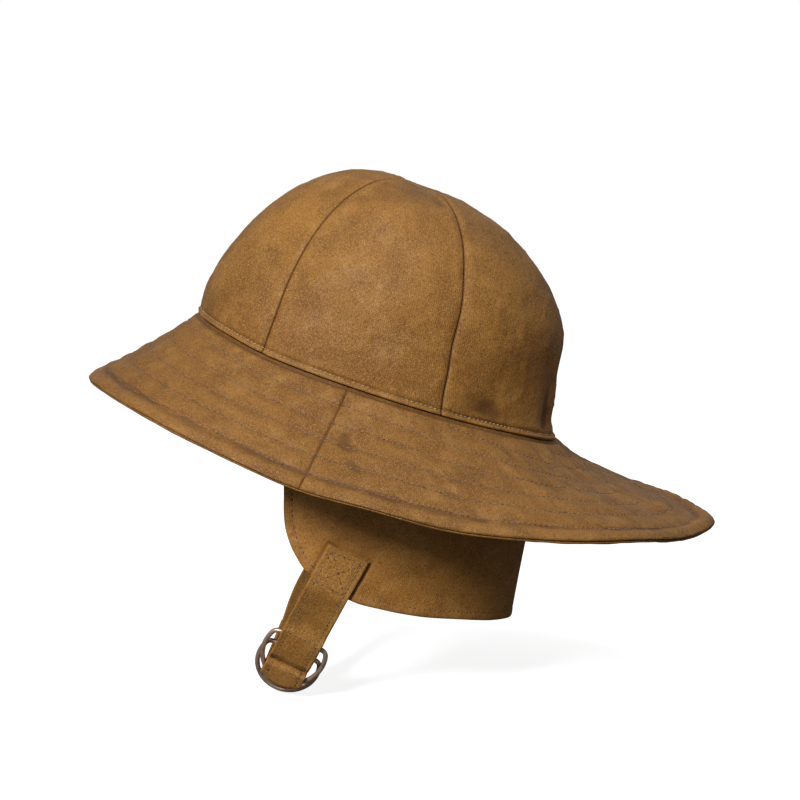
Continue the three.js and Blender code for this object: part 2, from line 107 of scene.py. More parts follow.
# The strap's width, and its lap on the flap: the turn of its middle, how far down it starts, and its slant
STRAP_WIDTH = 23.4
LAP_TURN = 102
LAP_START = 84.5
LAP_SLANT = 8

# Rise of the head opening's edge above its plane, as shares of the head's length
OPENING_RISE = table(
    "turn rise",
    (0, 0.005),
    (40, 0),
    (60, -0.005),
    (90, 0.002),
    (114, 0.008),
    (140, 0.014),
    (165, 0.0105),
    (180, 0.005),
)

# Level sections of the crown from foot to tip: height and reaches as shares, and the turns of the seams
CROWN_LEVELS = table(
    "up front back side seam_front seam_back",
    (0, 1, 0.995, 1, 56, 113),
    (0.04, 1.004, 0.972, 1.006, 56.5, 113.5),
    (0.1, 1.006, 0.943, 1.006, 57, 114),
    (0.2, 0.998, 0.92, 0.995, 57, 114),
    (0.346, 0.963, 0.887, 0.967, 55.5, 113),
    (0.54, 0.888, 0.848, 0.905, 53, 111.5),
    (0.71, 0.783, 0.722, 0.81, 51.5, 111.5),
    (0.83, 0.675, 0.57, 0.71, 51, 113),
    (0.925, 0.545, 0.39, 0.57, 51, 115),
    (0.975, 0.425, 0.23, 0.44, 50, 118),
    (1, 0.3, 0.09, 0.29, 50, 121),
    (0.995, 0.19, -0.04, 0.12, 50, 122),
    (0.988, 0.125, -0.105, 0.012, 50, 122),
)

# Soft hollows of the crown: place, spreads, slope of the climb, and depth as a share of half the width
CROWN_DENTS = table(
    "turn up round tall climb deep",
    (142, 0.2, 17, 0.15, 0, 0.03),
    (96, 0.3, 16, 0.12, 0.004, 0.014),
    (40, 0.42, 8, 0.3, 0.012, 0.012),
    (78, 0.72, 22, 0.1, -0.004, 0.01),
    (-60, 0.3, 20, 0.15, 0.004, 0.014),
    (-128, 0.26, 16, 0.16, 0, 0.02),
)

# Soft folds of the crown's cloth: place, spreads, and how far they stand out, in millimetres
CROWN_FOLDS = table(
    "turn up round tall out",
    (152, 0.12, 5, 0.16, 1.0),
    (161, 0.14, 4, 0.18, -1.5),
    (168, 0.16, 3.5, 0.2, 1.1),
    (128, 0.1, 6, 0.12, -0.8),
    (-150, 0.14, 6, 0.18, 1.0),
    (-163, 0.2, 4, 0.2, -1.2),
    (171, 0.5, 4, 0.16, -0.9),
)

# Slope of the brim below the opening's plane, in degrees, at the crown, in its middle and at its edge
BRIM_SLOPES = table(
    "turn root middle edge",
    (0, 60, 49, 45),
    (25, 56, 43, 38),
    (50, 51, 36, 33),
    (75, 49, 35.5, 37),
    (90, 48, 37, 39),
    (110, 42, 32.5, 33),
    (130, 36, 20, 19),
    (150, 32, 7.5, 5.5),
    (165, 29, 4, 1.5),
    (180, 28, 2.5, -2),
)

# Waves of the brim: place, spread round, and lift at the edge as a share of the side's width
BRIM_WAVES = table(
    "turn round lift",
    (100, 9, 0.014),
    (80, 8, -0.012),
    (168, 6, 0.02),
    (154, 6, -0.014),
    (-96, 9, 0.016),
    (-152, 8, -0.018),
    (30, 10, 0.012),
    (-40, 12, 0.014),
)

# Creases of the brim: each a line between two places, its spread and its lift, in millimetres
BRIM_CREASES = table(
    "turn share to_turn to_share wide lift",
    (126, 0.15, 140, 0.7, 3, 0.7),
    (140, 0.3, 158, 0.92, 3.5, 0.9),
    (160, 0.42, 172, 0.9, 2.5, 0.8),
    (104, 0.25, 112, 0.8, 4, 0.5),
    (112, 0.6, 122, 0.95, 3, -0.45),
    (92, 0.1, 97, 0.45, 3, 0.6),
    (88, 0.35, 95, 0.75, 3, -0.55),
    (76, 0.2, 70, 0.6, 3, 0.55),
    (68, 0.55, 62, 0.9, 3.5, 0.4),
    (20, 0.2, 28, 0.8, 4, 0.4),
    (40, 0.5, 47, 0.9, 3.5, -0.4),
    (-30, 0.3, -38, 0.8, 4, 0.4),
    (-70, 0.2, -62, 0.7, 4, 0.5),
    (-110, 0.2, -124, 0.7, 4, 0.6),
    (-140, 0.3, -152, 0.9, 4, 0.7),
    (-160, 0.2, -170, 0.7, 4, -0.6),
    (171, 0.6, 176, 0.98, 2.5, 0.8),
    (156, 0.03, 164, 0.32, 1.9, 0.55),
    (161, 0.16, 170, 0.6, 1.8, 0.6),
    (166, 0.3, 173, 0.82, 1.9, 0.55),
    (160, 0.46, 168, 0.8, 1.8, 0.5),
    (169, 0.5, 175, 0.9, 1.7, 0.5),
)

# Lower edge of the flap: depth as a share of its drop, and swing outwards as a share of its flare
FLAP_EDGE = table(
    "turn depth swing",
    (74, 0.5, -0.9),
    (76, 0.58, -0.9),
    (78.6, 0.7, -0.9),
    (80.7, 0.765, -0.88),
    (85, 0.85, -0.87),
    (92.5, 0.938, -0.82),
    (108, 1, -0.62),
    (118, 1, -0.45),
    (132, 0.988, -0.15),
    (148, 0.955, 0.32),
    (161, 0.935, 0.74),
    (180, 0.92, 1.12),
)

# Soft upright folds of the flap: place, spread round, and how far they stand out at the hem
FLAP_FOLDS = table(
    "turn round out",
    (117, 6, -1.3),
    (131, 7, 1.2),
    (150, 8, -0.8),
    (-110, 7, 1.2),
    (-126, 7, -1.3),
    (-150, 9, 0.9),
    (170, 8, 0.8),
)

# The short strap's pocket: places along and out, as shares of its depth and of half its thickness
POCKET_FRONT = table(
    "along out",
    (1.7, 0),
    (1.46, 0.25),
    (1.25, 0.8),
    (1.13, 1),
    (0.31, 1),
    (0.21, 0.75),
    (0.12, 0.42),
    (0.055, 0.26),
    (0.04, 0),
)
POCKET_BACK = table(
    "along out",
    (0.055, 0.26),
    (0.12, 0.42),
    (0.21, 0.75),
    (0.31, 1),
    (1.13, 1),
    (1.25, 0.85),
    (1.46, 0.5),
    (1.65, 0.42),
)


# The long strap's tail behind the rings: places as shares of its length, rise in millimetres, and how level
TAIL = table(
    "back rise level",
    (0.08, 0.6, 0),
    (0.16, 1.3, 0.1),
    (0.3, 1.8, 0.35),
    (0.55, 2.6, 0.8),
    (1, 3, 1),
)


def vectors(*coordinates: np.ndarray) -> np.ndarray:
    """Joins arrays of coordinates into one of points."""
    return np.stack(np.broadcast_arrays(*coordinates), axis=-1).astype(float)


def unit(arrows: np.ndarray) -> np.ndarray:
    """Brings each vector to length 1."""
    return arrows / np.maximum(np.linalg.norm(arrows, axis=-1, keepdims=True), 1e-9)


def smooth(share: np.ndarray) -> np.ndarray:
    """Eases a share from 0 to 1, level at both ends."""
    held = np.clip(share, 0, 1)
    return held * held * (3 - 2 * held)


def bump(distance: np.ndarray, spread: float) -> np.ndarray:
    """Gives a round hill, 1 at no distance and fading over the spread."""
    return np.exp(-((distance / spread) ** 2))


def turn_between(start: float, end: np.ndarray) -> np.ndarray:
    """Gives the shortest angle from one turn to another."""
    return (end - start + 180) % 360 - 180


def running(steps: np.ndarray, axis: int = 0) -> np.ndarray:
    """Gives the running total of steps, from 0."""
    return np.insert(np.cumsum(steps, axis=axis), 0, 0.0, axis=axis)


def rows_of(columns: Table) -> list[dict[str, float]]:
    """Gives a table's rows, each with its columns' names."""
    return [dict(zip(columns, row)) for row in zip(*columns.values())]


def curve(
    share: np.ndarray, span: np.ndarray, ends: tuple[np.ndarray, ...], slopes: tuple[np.ndarray, ...]
) -> np.ndarray:
    """Reads a smooth curve between two places.

    Args:
        share: Where to read it, from 0 at the first place to 1 at the second.
        span: The distance between the places.
        ends: The values at the two places.
        slopes: The slopes at the two places.

    Returns:
        The values there.
    """
    squared = share**2
    cubed = share**3
    return (
        (2 * cubed - 3 * squared + 1) * ends[0]
        + (cubed - 2 * squared + share) * span * slopes[0]
        + (3 * squared - 2 * cubed) * ends[1]
        + (cubed - squared) * span * slopes[1]
    )


def look_up(columns: Table, key: str, at: np.ndarray, column: str) -> np.ndarray:
    """Reads a table's column between its rows, on a smooth curve that is level at the first and last row.

    Args:
        columns: The table.
        key: The column that says where each row is.
        at: The places to read.
        column: The column to read.

    Returns:
        The values at those places.
    """
    places = np.asarray(columns[key], float)
    values = np.asarray(columns[column], float)
    slopes = np.zeros(len(places))
    slopes[1:-1] = (values[2:] - values[:-2]) / (places[2:] - places[:-2])
    where = np.clip(at, places[0], places[-1])
    row = np.clip(np.searchsorted(places, where) - 1, 0, len(places) - 2)
    span = places[row + 1] - places[row]
    ends = (values[row], values[row + 1])
    return curve((where - places[row]) / span, span, ends, (slopes[row], slopes[row + 1]))


def cloth_noise(points: np.ndarray, size: float, seed: int) -> np.ndarray:
    """Gives smooth unevenness from about -1 to 1.

    Args:
        points: Where to measure it, in millimetres.
        size: Size of its lumps, in millimetres.
        seed: Which unevenness it is.

    Returns:
        One value for each point.
    """
    cells = 32
    lattice = np.random.default_rng(seed).uniform(-1, 1, (cells, cells, cells))
    place = points / size
    cell = np.floor(place).astype(int)
    share = smooth(place - cell)
    total = np.zeros(points.shape[:-1])
    for corner in itertools.product((0, 1), repeat=3):
        weight = np.prod(np.where(corner, share, 1 - share), axis=-1)
        spot = (cell + corner) % cells
        total += weight * lattice[spot[..., 0], spot[..., 1], spot[..., 2]]
    return total


@dataclass(frozen=True)
class Ridge:
    """A line along which the cloth stands out, or sinks in where the height is below 0, in millimetres."""

    height: float
    place: float
    spread: float

    def at(self, distance: np.ndarray) -> np.ndarray:
        """Gives its height at a distance from the edge or seam that it follows."""
        return self.height * bump(distance - self.place, self.spread)


@dataclass(frozen=True)
class Lumps:
    """Smooth unevenness of the cloth: its height and size, in millimetres, and which unevenness it is."""

    height: float
    size: float
    seed: int

    def at(self, points: np.ndarray, piece: int = 0) -> np.ndarray:
        """Gives its height at points, with other lumps for each number of a piece."""
        return self.height * cloth_noise(points, self.size, self.seed + piece)


def marks(length: float, step: float, ends: tuple[float, ...]) -> np.ndarray:
    """Gives places along a length, close together at its two ends so that an edge can be rounded.

    Args:
        length: The length, in millimetres.
        step: Their spacing along the middle, in millimetres.
        ends: The places next to each end, in millimetres from it.

    Returns:
        The places from 0 to the length.
    """
    middle = np.linspace(ends[-1], length - ends[-1], max(3, round(length / step)))
    start = np.array((0, *ends[:-1]))
    return np.concatenate([start, middle, length - start[::-1]])


def normals_of(points: np.ndarray) -> np.ndarray:
    """Gives the direction square to a grid at each point, along its columns crossed with its rows."""
    across = np.gradient(points, axis=1)
    down = np.gradient(points, axis=0)
    return unit(np.cross(across, down))


@dataclass
class Surface:
    """A grid of points with marks along its rows and columns, read smoothly anywhere between them."""

    points: np.ndarray
    row_marks: np.ndarray
    column_marks: np.ndarray
    normals: np.ndarray = field(init=False)

    def __post_init__(self) -> None:
        """Works out the directions square to the grid."""
        self.normals = normals_of(self.points)

    def at(self, rows: np.ndarray, columns: np.ndarray) -> tuple[np.ndarray, np.ndarray]:
        """Reads the surface.

        Args:
            rows: Places along the rows' marks.
            columns: Places along the columns' marks.

        Returns:
            The points and the directions square to the surface there.
        """
        rows, columns = np.broadcast_arrays(rows, columns)
        row = np.interp(rows, self.row_marks, np.arange(len(self.row_marks)))
        column = np.interp(columns, self.column_marks, np.arange(len(self.column_marks)))
        top = np.clip(np.floor(row).astype(int), 0, len(self.row_marks) - 2)
        left = np.clip(np.floor(column).astype(int), 0, len(self.column_marks) - 2)
        down = (row - top)[..., None]
        right = (column - left)[..., None]

        def read(grid: np.ndarray) -> np.ndarray:
            """Reads a grid between its four nearest points."""
            upper = grid[top, left] * (1 - right) + grid[top, left + 1] * right
            lower = grid[top + 1, left] * (1 - right) + grid[top + 1, left + 1] * right
            return upper * (1 - down) + lower * down

        return read(self.points), unit(read(self.normals))


def refined(grid: np.ndarray, steps: int, axis: int) -> np.ndarray:
    """Puts more points on a grid, on smooth curves through the old ones.

    Args:
        grid: The grid of points.
        steps: How many steps each old step becomes.
        axis: 0 to refine along the rows, 1 along the columns.

    Returns:
        The finer grid.
    """
    old = np.moveaxis(grid, axis, 0)
    chords = np.linalg.norm(np.diff(old, axis=0), axis=-1).mean(axis=1)
    at = running(np.maximum(chords, 1e-6))
    slope = np.empty_like(old)
    slope[1:-1] = (old[2:] - old[:-2]) / (at[2:] - at[:-2])[:, None, None]
    slope[0] = (old[1] - old[0]) / (at[1] - at[0])
    slope[-1] = (old[-1] - old[-2]) / (at[-1] - at[-2])
    fine = []
    for row in range(len(old) - 1):
        span = at[row + 1] - at[row]
        for share in np.arange(steps) / steps:
            fine.append(curve(share, span, old[row : row + 2], slope[row : row + 2]))
    return np.moveaxis(np.array([*fine, old[-1]]), 0, axis)


def lengths_along(grid: np.ndarray, axis: int) -> np.ndarray:
    """Gives the mean distance of each row or column of a grid from the first."""
    return running(np.linalg.norm(np.diff(grid, axis=axis), axis=-1).mean(axis=1 - axis))


def in_row_frame(points: np.ndarray) -> np.ndarray:
    """Tips points of the hat's own frame back as the hat is worn, and turns millimetres into metres.

    Args:
        points: The points in the hat's own frame.

    Returns:
        The points in the record's frame.
    """
    across, along, up = points[..., 0], points[..., 1], points[..., 2]
    cosine = math.cos(TIP_BACK)
    sine = math.sin(TIP_BACK)
    return vectors(across, along * cosine + up * sine, up * cosine - along * sine) / 1000


class Slot(Enum):
    """The record's material slots."""

    CLOTH = "waxed_cloth"
    UNDER = "brim_lining"
    BRONZE = "bronze_ring"


def add_object(name: str, data: bpy.types.ID) -> Piece:
    """Adds an object to the scene.

    Args:
        name: Its name.
        data: Its mesh, lamp or camera.

    Returns:
        The object.
    """
    added = bpy.data.objects.new(name, data)
    bpy.context.scene.collection.objects.link(added)
    return added


def new_piece(
    name: str,
    points: np.ndarray,
    faces: np.ndarray,
    material: Material,
    tones: np.ndarray | None = None,
    weave: np.ndarray | None = None,
) -> Piece:
    """Makes a mesh that rides with the hat.

    Args:
        name: The piece's name.
        points: Its points in the hat's own frame.
        faces: Its faces, four corners each.
        material: Its finish.
        tones: For each point, how raised (over 0) or hollow (under 0) the cloth is; hollows get painted
            shade.
        weave: For each point, where it is on the flat cloth, in millimetres.

    Returns:
        The new object.
    """
    mesh = bpy.data.meshes.new(name)
    mesh.from_pydata(in_row_frame(points).tolist(), [], faces.tolist())
    mesh.materials.append(material)
    mesh.shade_smooth()
    if tones is not None:
        mesh.attributes.new("relief", "FLOAT", "POINT").data.foreach_set("value", tones.astype(np.float32))
    if weave is not None:
        corners = np.empty(len(mesh.loops), dtype=np.int32)
        mesh.loops.foreach_get("vertex_index", corners)
        layer = mesh.uv_layers.new(name="weave")
        layer.data.foreach_set("uv", (weave[corners] / 1000).astype(np.float32).ravel())
    mesh.update()
    piece = add_object(name, mesh)
    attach(piece, "root")
    return piece


def faces_from(corners: tuple[np.ndarray, ...]) -> np.ndarray:
    """Gives faces from the arrays of their first, second, third and fourth corners."""
    return np.stack([corner.ravel() for corner in corners], axis=1)


def grid_faces(rows: int, columns: int) -> np.ndarray:
    """Gives the faces of the closed solid between a front grid and a back grid.

    Args:
        rows: The rows of each grid.
        columns: The columns of each grid.

    Returns:
        The faces, four corners each, with the back's points numbered after the front's.
    """
    number = np.arange(2 * rows * columns).reshape(2, rows, columns)
    front, back = number
    sheets = [
        (front[:-1, :-1], front[:-1, 1:], front[1:, 1:], front[1:, :-1]),
        (back[:-1, :-1], back[1:, :-1], back[1:, 1:], back[:-1, 1:]),
        (front[:-1, 0], front[1:, 0], back[1:, 0], back[:-1, 0]),
        (front[:-1, -1], back[:-1, -1], back[1:, -1], front[1:, -1]),
        (front[0, :-1], back[0, :-1], back[0, 1:], front[0, 1:]),
        (front[-1, :-1], front[-1, 1:], back[-1, 1:], back[-1, :-1]),
    ]
    return np.concatenate([faces_from(sheet) for sheet in sheets])


@dataclass
class Cloth:
    """One cut piece of cloth, given by its middle surface, with rounded edges and its own relief."""

    middle: np.ndarray
    normals: np.ndarray
    wall: float
    flat: np.ndarray
    edge: np.ndarray
    front_relief: np.ndarray
    back_relief: np.ndarray

    def faces_of_cloth(self) -> tuple[np.ndarray, np.ndarray]:
        """Gives its two faces.

        Returns:
            The grids of its front and its back.
        """
        round_off = np.sqrt(1 - (1 - np.clip(self.edge / (EDGE_ROUND * self.wall), 0, 1)) ** 2)
        half = self.wall / 2 * (EDGE_WALL + (1 - EDGE_WALL) * round_off)
        front = self.middle + self.normals * (half + self.front_relief * round_off)[..., None]
        back = self.middle - self.normals * (half + self.back_relief * round_off)[..., None]
        return front, back

    def build(self, name: str, material: Material, slot: Slot) -> Piece:
        """Makes its mesh in the place of a node.

        Args:
            name: The node's name.
            material: Its finish.
            slot: The record's slot that the finish belongs to; not used.

        Returns:
            The new object.
        """
        front, back = self.faces_of_cloth()
        rows, columns = front.shape[:2]
        points = np.concatenate([front.reshape(-1, 3), back.reshape(-1, 3)])
        tones = np.concatenate([self.front_relief.ravel(), self.back_relief.ravel()])
        flat = self.flat.reshape(-1, 2)
        weave = np.concatenate([flat, flat + BACK_WEAVE])
        piece = new_piece(f"{name}_cloth", points, grid_faces(rows, columns), material, tones, weave)
        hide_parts(name)
        return piece


@dataclass
class Thread:
    """Lockstitching: short runs of thread that come up out of the cloth and dip back into it."""

    pitch: float = 2.9
    run: float = 2.1
    thick: float = 0.62
    sides: int = 5
    lines: list[np.ndarray] = field(default_factory=list)

    def sew(self, points: np.ndarray, normals: np.ndarray, lift: float = STITCH_LIFT) -> None:
        """Adds a line of stitches.

        Args:
            points: Points along the line, on the cloth's face.
            normals: Directions out of the cloth there.
            lift: How far the thread is raised, in millimetres.
        """
        along = running(np.linalg.norm(np.diff(points, axis=0), axis=1))
        count = max(1, int(along[-1] / self.pitch))
        centres = (np.arange(count) + 0.5) * along[-1] / count

        def read(grid: np.ndarray, at: np.ndarray) -> np.ndarray:
            """Reads the line at a distance along it."""
            return np.stack([np.interp(at, along, grid[:, axis]) for axis in range(3)], axis=1)

        middle = read(points, centres)
        out = unit(read(normals, centres))
        ahead = unit(read(points, centres + self.run / 2) - read(points, centres - self.run / 2))
        side = unit(np.cross(out, ahead))
        shares = np.array(STITCH_RINGS["along"])
        fat = np.array(STITCH_RINGS["thick"]) * self.thick / 2
        rise = np.array(STITCH_RINGS["rise"]) * self.thick / 2 + lift
        angles = np.linspace(0, 2 * math.pi, self.sides, endpoint=False)
        rings = (
            middle[:, None, None]
            + ahead[:, None, None] * (shares * self.run / 2)[:, None, None]
            + out[:, None, None] * (rise[:, None] + fat[:, None] * np.sin(angles))[..., None]
            + side[:, None, None] * (fat[:, None] * np.cos(angles))[..., None]
        )
        self.lines.append(rings)

    def build(self, name: str, material: Material, slot: Slot) -> Piece:
        """Makes one mesh of all the stitches sewn so far.

        Args:
            name: The piece's name.
            material: The thread's finish.
            slot: The record's slot that the finish belongs to; not used.

        Returns:
            The new object.
        """
        stitches = np.concatenate(self.lines)
        count, rings, sides = stitches.shape[:3]
        number = np.arange(count * rings * sides).reshape(count, rings, sides)
        turned = np.roll(number, -1, axis=2)
        faces = faces_from((number[:, :-1], turned[:, :-1], turned[:, 1:], number[:, 1:]))
        log.info("%s: %d stitches", name, count)
        return new_piece(name, stitches.reshape(-1, 3), faces, material)


class ShaderSheet:
    """A node tree with short ways to add and join its nodes."""

    def __init__(self, tree: NodeTree) -> None:
        """Keeps the tree that the nodes go into."""
        self.tree = tree

    def add(self, kind: str, **settings: object) -> Node:
        """Adds a node.

        Args:
            kind: The kind of node.
            **settings: Its settings.

        Returns:
            The node.
        """
        node = self.tree.nodes.new(kind)
        for name, value in settings.items():
            setattr(node, name, value)
        return node

    def put(self, node: Node, socket: str | int, value: object) -> None:
        """Sets a node's input to a constant, or joins it to another node's output.

        Args:
            node: The node.
            socket: The input's name or number.
            value: The constant, or the output's socket.
        """
        if isinstance(value, Socket):
            self.tree.links.new(value, node.inputs[socket])
        else:
            node.inputs[socket].default_value = value

    def noise(self, where: object, scale: object, detail: float, rough: float = 0.55) -> Socket:
        """Adds a noise texture and gives its value.

        Args:
            where: The socket of the coordinates.
            scale: How many lumps there are to a metre.
            detail: How many finer octaves it has.
            rough: How strong the finer octaves are.

        Returns:
            The socket of its value.
        """
        node = self.add("ShaderNodeTexNoise")
        self.put(node, "Vector", where)
        self.put(node, "Scale", scale)
        self.put(node, "Detail", detail)
        self.put(node, "Roughness", rough)
        return node.outputs["Fac"]

    def ramp(self, value: object, low: float, high: float, to_low: float, to_high: float) -> Socket:
        """Brings a value from one range to another, smoothly, and holds it there.

        Args:
            value: The value.
            low: Where its range starts.
            high: Where its range ends.
            to_low: The result up to the start.
            to_high: The result from the end on.

        Returns:
            The socket of the result.
        """
        node = self.add("ShaderNodeMapRange", interpolation_type="SMOOTHSTEP")
        sockets = ("Value", "From Min", "From Max", "To Min", "To Max")
        for socket, amount in zip(sockets, (value, low, high, to_low, to_high)):
            self.put(node, socket, amount)
        return node.outputs["Result"]

    def math(self, operation: str, first: object, second: object = 0.0) -> Socket:
        """Joins two values with an operation.

        Args:
            operation: The operation's name in the node.
            first: The first value.
            second: The second value.

        Returns:
            The socket of the result.
        """
        node = self.add("ShaderNodeMath", operation=operation)
        self.put(node, 0, first)
        self.put(node, 1, second)
        return node.outputs[0]

    def mix(self, share: object, first: object, second: object) -> Socket:
        """Mixes two colours.

        Args:
            share: The share of the second colour.
            first: The first colour.
            second: The second colour.

        Returns:
            The socket of the mixed colour.
        """
        node = self.add("ShaderNodeMix", data_type="RGBA")
        self.put(node, 0, share)
        self.put(node, 6, first)
        self.put(node, 7, second)
        return node.outputs[2]


def new_group(
    name: str, inputs: dict[str, float | Colour], outputs: dict[str, str]
) -> tuple[ShaderSheet, Node, Node]:
    """Starts a shader node group.

    Args:
        name: The group's name.
        inputs: For each input its first value: a number or a colour.
        outputs: For each output its kind of socket.

    Returns:
        The group's sheet, its input node and its output node.
    """
    tree = bpy.data.node_groups.new(name, "ShaderNodeTree")
    for label, value in inputs.items():
        kind = "NodeSocketFloat" if isinstance(value, float) else "NodeSocketColor"
        socket = tree.interface.new_socket(label, in_out="INPUT", socket_type=kind)
        socket.default_value = value
    for label, kind in outputs.items():
        tree.interface.new_socket(label, in_out="OUTPUT", socket_type=kind)
    sheet = ShaderSheet(tree)
    return sheet, sheet.add("NodeGroupInput"), sheet.add("NodeGroupOutput")


def waxed_weave() -> NodeTree:
    """Makes the group for waxed canvas: blotches, grain, threads, bloom where rubbed and painted shade in
    hollows.

    Returns:
        The group, with a colour, a roughness and a height.
    """
    inputs = {
        "Base": (0.2, 0.1, 0.03, 1.0),
        "Dark": (0.1, 0.05, 0.015, 1.0),
        "Bloom": (0.35, 0.25, 0.14, 1.0),
        "Blotches": 0.5,
        "Bloom Amount": 0.5,
        "Painted Hollow Shade": 0.6,
        "Dull": 0.7,
    }
    outputs = {"Colour": "NodeSocketColor", "Roughness": "NodeSocketFloat", "Height": "NodeSocketFloat"}
    sheet, given, result = new_group("waxed weave", inputs, outputs)
    place = sheet.add("ShaderNodeTexCoord")
    where = place.outputs["Object"]
    relief = sheet.add("ShaderNodeAttribute", attribute_name="relief").outputs["Fac"]
    clouds = sheet.noise(where, 16.0, 3.0)
    streaks = sheet.noise(where, 60.0, 4.0, 0.65)
    mottles = sheet.noise(where, 44.0, 2.0, 0.6)
    grain = sheet.noise(where, 1500.0, 1.0, 0.6)
    fleck = sheet.noise(where, 800.0, 2.0, 0.7)

    def share_of(limit: str, mask: Socket) -> Socket:
        """Gives a mask held down by one of the group's inputs."""
        return sheet.math("MULTIPLY", mask, given.outputs[limit])

    rubbed = share_of("Bloom Amount", sheet.ramp(streaks, 0.46, 0.72, 0.0, 1.0))
    raised = share_of("Bloom Amount", sheet.ramp(relief, 0.1, 0.8, 0.0, 0.45))
    colour = given.outputs["Base"]
    for shade, mask in (
        ("Dark", share_of("Blotches", sheet.ramp(clouds, 0.35, 0.68, 0.0, 1.0))),
        ("Bloom", sheet.math("MAXIMUM", rubbed, raised)),
        ("Dark", sheet.ramp(mottles, 0.46, 0.66, 0.0, 0.42)),
        ("Dark", sheet.ramp(fleck, 0.46, 0.7, 0.0, 0.6)),
        ("Bloom", sheet.ramp(grain, 0.46, 0.68, 0.0, 0.7)),
        # Painted shade: darker wherever the relief says the cloth is hollow, in seams, grooves and creases
        ("Dark", share_of("Painted Hollow Shade", sheet.ramp(relief, -0.9, -0.1, 1.0, 0.0))),
    ):
        colour = sheet.mix(mask, colour, given.outputs[shade])
    sheet.put(result, "Colour", colour)
    dull = sheet.math("ADD", given.outputs["Dull"], sheet.ramp(streaks, 0.35, 0.7, 0.08, -0.12))
    sheet.put(result, "Roughness", sheet.math("ADD", dull, sheet.ramp(fleck, 0.4, 0.65, -0.05, 0.06)))
    flat_place = sheet.add("ShaderNodeUVMap", uv_map="weave").outputs["UV"]
    threads = []
    for direction in ("X", "Y"):
        wave = sheet.add("ShaderNodeTexWave", bands_direction=direction)
        sheet.put(wave, "Vector", flat_place)
        sheet.put(wave, "Scale", 290.0)
        sheet.put(wave, "Distortion", 0.6)
        sheet.put(wave, "Detail", 1.0)
        threads.append(wave.outputs["Fac"])
    weave = sheet.math("MULTIPLY", sheet.math("MAXIMUM", *threads), 0.35)
    rough_cloth = sheet.math("ADD", weave, sheet.math("MULTIPLY", grain, 0.5))
    rough_cloth = sheet.math("ADD", rough_cloth, sheet.math("MULTIPLY", fleck, 0.8))
    crumple = sheet.math("MULTIPLY", sheet.noise(where, 130.0, 2.0, 0.5), 2.2)
    sheet.put(result, "Height", sheet.math("ADD", rough_cloth, crumple))
    return sheet.tree


def new_finish(name: str) -> tuple[Material, ShaderSheet, Node]:
    """Starts a material.

    Args:
        name: The material's name.

    Returns:
        The material, its sheet and its surface node.
    """
    material = bpy.data.materials.new(name)
    material.use_nodes = True
    surface = material.node_tree.nodes["Principled BSDF"]
    return material, ShaderSheet(material.node_tree), surface


@dataclass(frozen=True)
class WaxedCloth:
    """Waxed canvas of one shade."""

    name: str
    base: Colour = (0.275, 0.12, 0.019, 1)
    dark: Colour = (0.115, 0.045, 0.008, 1)
    bloom: Colour = (0.44, 0.215, 0.05, 1)
    blotches: float = 0.42
    bloom_amount: float = 0.6
    # How dark the painted shade in the cloth's hollows is
    painted_hollow_shade: float = 0.9
    dull: float = 0.6
    depth: float = 0.0003
    sheen: float = 0.03
    sheen_roughness: float = 0.4
    specular: float = 0.32

    def material(self, weave: NodeTree) -> Material:
        """Makes the material from the shared weave.

        Args:
            weave: The group for waxed canvas.

        Returns:
            The material.
        """
        material, sheet, surface = new_finish(self.name)
        group = sheet.add("ShaderNodeGroup", node_tree=weave)
        for socket, value in (
            ("Base", self.base),
            ("Dark", self.dark),
            ("Bloom", self.bloom),
            ("Blotches", self.blotches),
            ("Bloom Amount", self.bloom_amount),
            ("Painted Hollow Shade", self.painted_hollow_shade),
            ("Dull", self.dull),
        ):
            sheet.put(group, socket, value)
        raised = sheet.add("ShaderNodeBump")
        sheet.put(raised, "Distance", self.depth)
        sheet.put(raised, "Height", group.outputs["Height"])
        sheet.put(surface, "Base Color", group.outputs["Colour"])
        sheet.put(surface, "Roughness", group.outputs["Roughness"])
        sheet.put(surface, "Normal", raised.outputs["Normal"])
        sheet.put(surface, "Sheen Weight", self.sheen)
        sheet.put(surface, "Sheen Roughness", self.sheen_roughness)
        sheet.put(surface, "Specular IOR Level", self.specular)
        return material


@dataclass(frozen=True)
class WaxedThread:
    """Heavy thread with wax on it."""

    name: str = "thread"
    base: Colour = (0.27, 0.175, 0.115, 1)
    dark: Colour = (0.07, 0.04, 0.024, 1)

    def material(self) -> Material:
        """Makes the material.

        Returns:
            The material.
        """
        material, sheet, surface = new_finish(self.name)
        where = sheet.add("ShaderNodeTexCoord").outputs["Object"]
        worn = sheet.ramp(sheet.noise(where, 240.0, 3.0, 0.7), 0.38, 0.66, 0.0, 1.0)
        sheet.put(surface, "Base Color", sheet.mix(worn, self.base, self.dark))
        sheet.put(surface, "Roughness", sheet.ramp(worn, 0.0, 1.0, 0.6, 0.8))
        return material


@dataclass(frozen=True)
class AgedBronze:
    """Satin bronze wire, darker where it isn't rubbed."""

    name: str = "bronze"
    bright: Colour = (0.84, 0.62, 0.46, 1)
    dark: Colour = (0.4, 0.26, 0.17, 1)

    def material(self) -> Material:
        """Makes the material.

        Returns:
            The material.
        """
        material, sheet, surface = new_finish(self.name)
        where = sheet.add("ShaderNodeTexCoord").outputs["Object"]
        patches = sheet.noise(where, 150.0, 4.0, 0.65)
        rubbed = sheet.ramp(patches, 0.4, 0.66, 0.0, 0.7)
        sheet.put(surface, "Base Color", sheet.mix(rubbed, self.bright, self.dark))
        sheet.put(surface, "Metallic", 0.75)
        sheet.put(surface, "Roughness", sheet.ramp(patches, 0.35, 0.65, 0.3, 0.46))
        scuffs = sheet.add("ShaderNodeBump")
        sheet.put(scuffs, "Distance", 0.00006)
        sheet.put(scuffs, "Height", sheet.noise(where, 900.0, 3.0, 0.7))
        sheet.put(surface, "Normal", scuffs.outputs["Normal"])
        return material


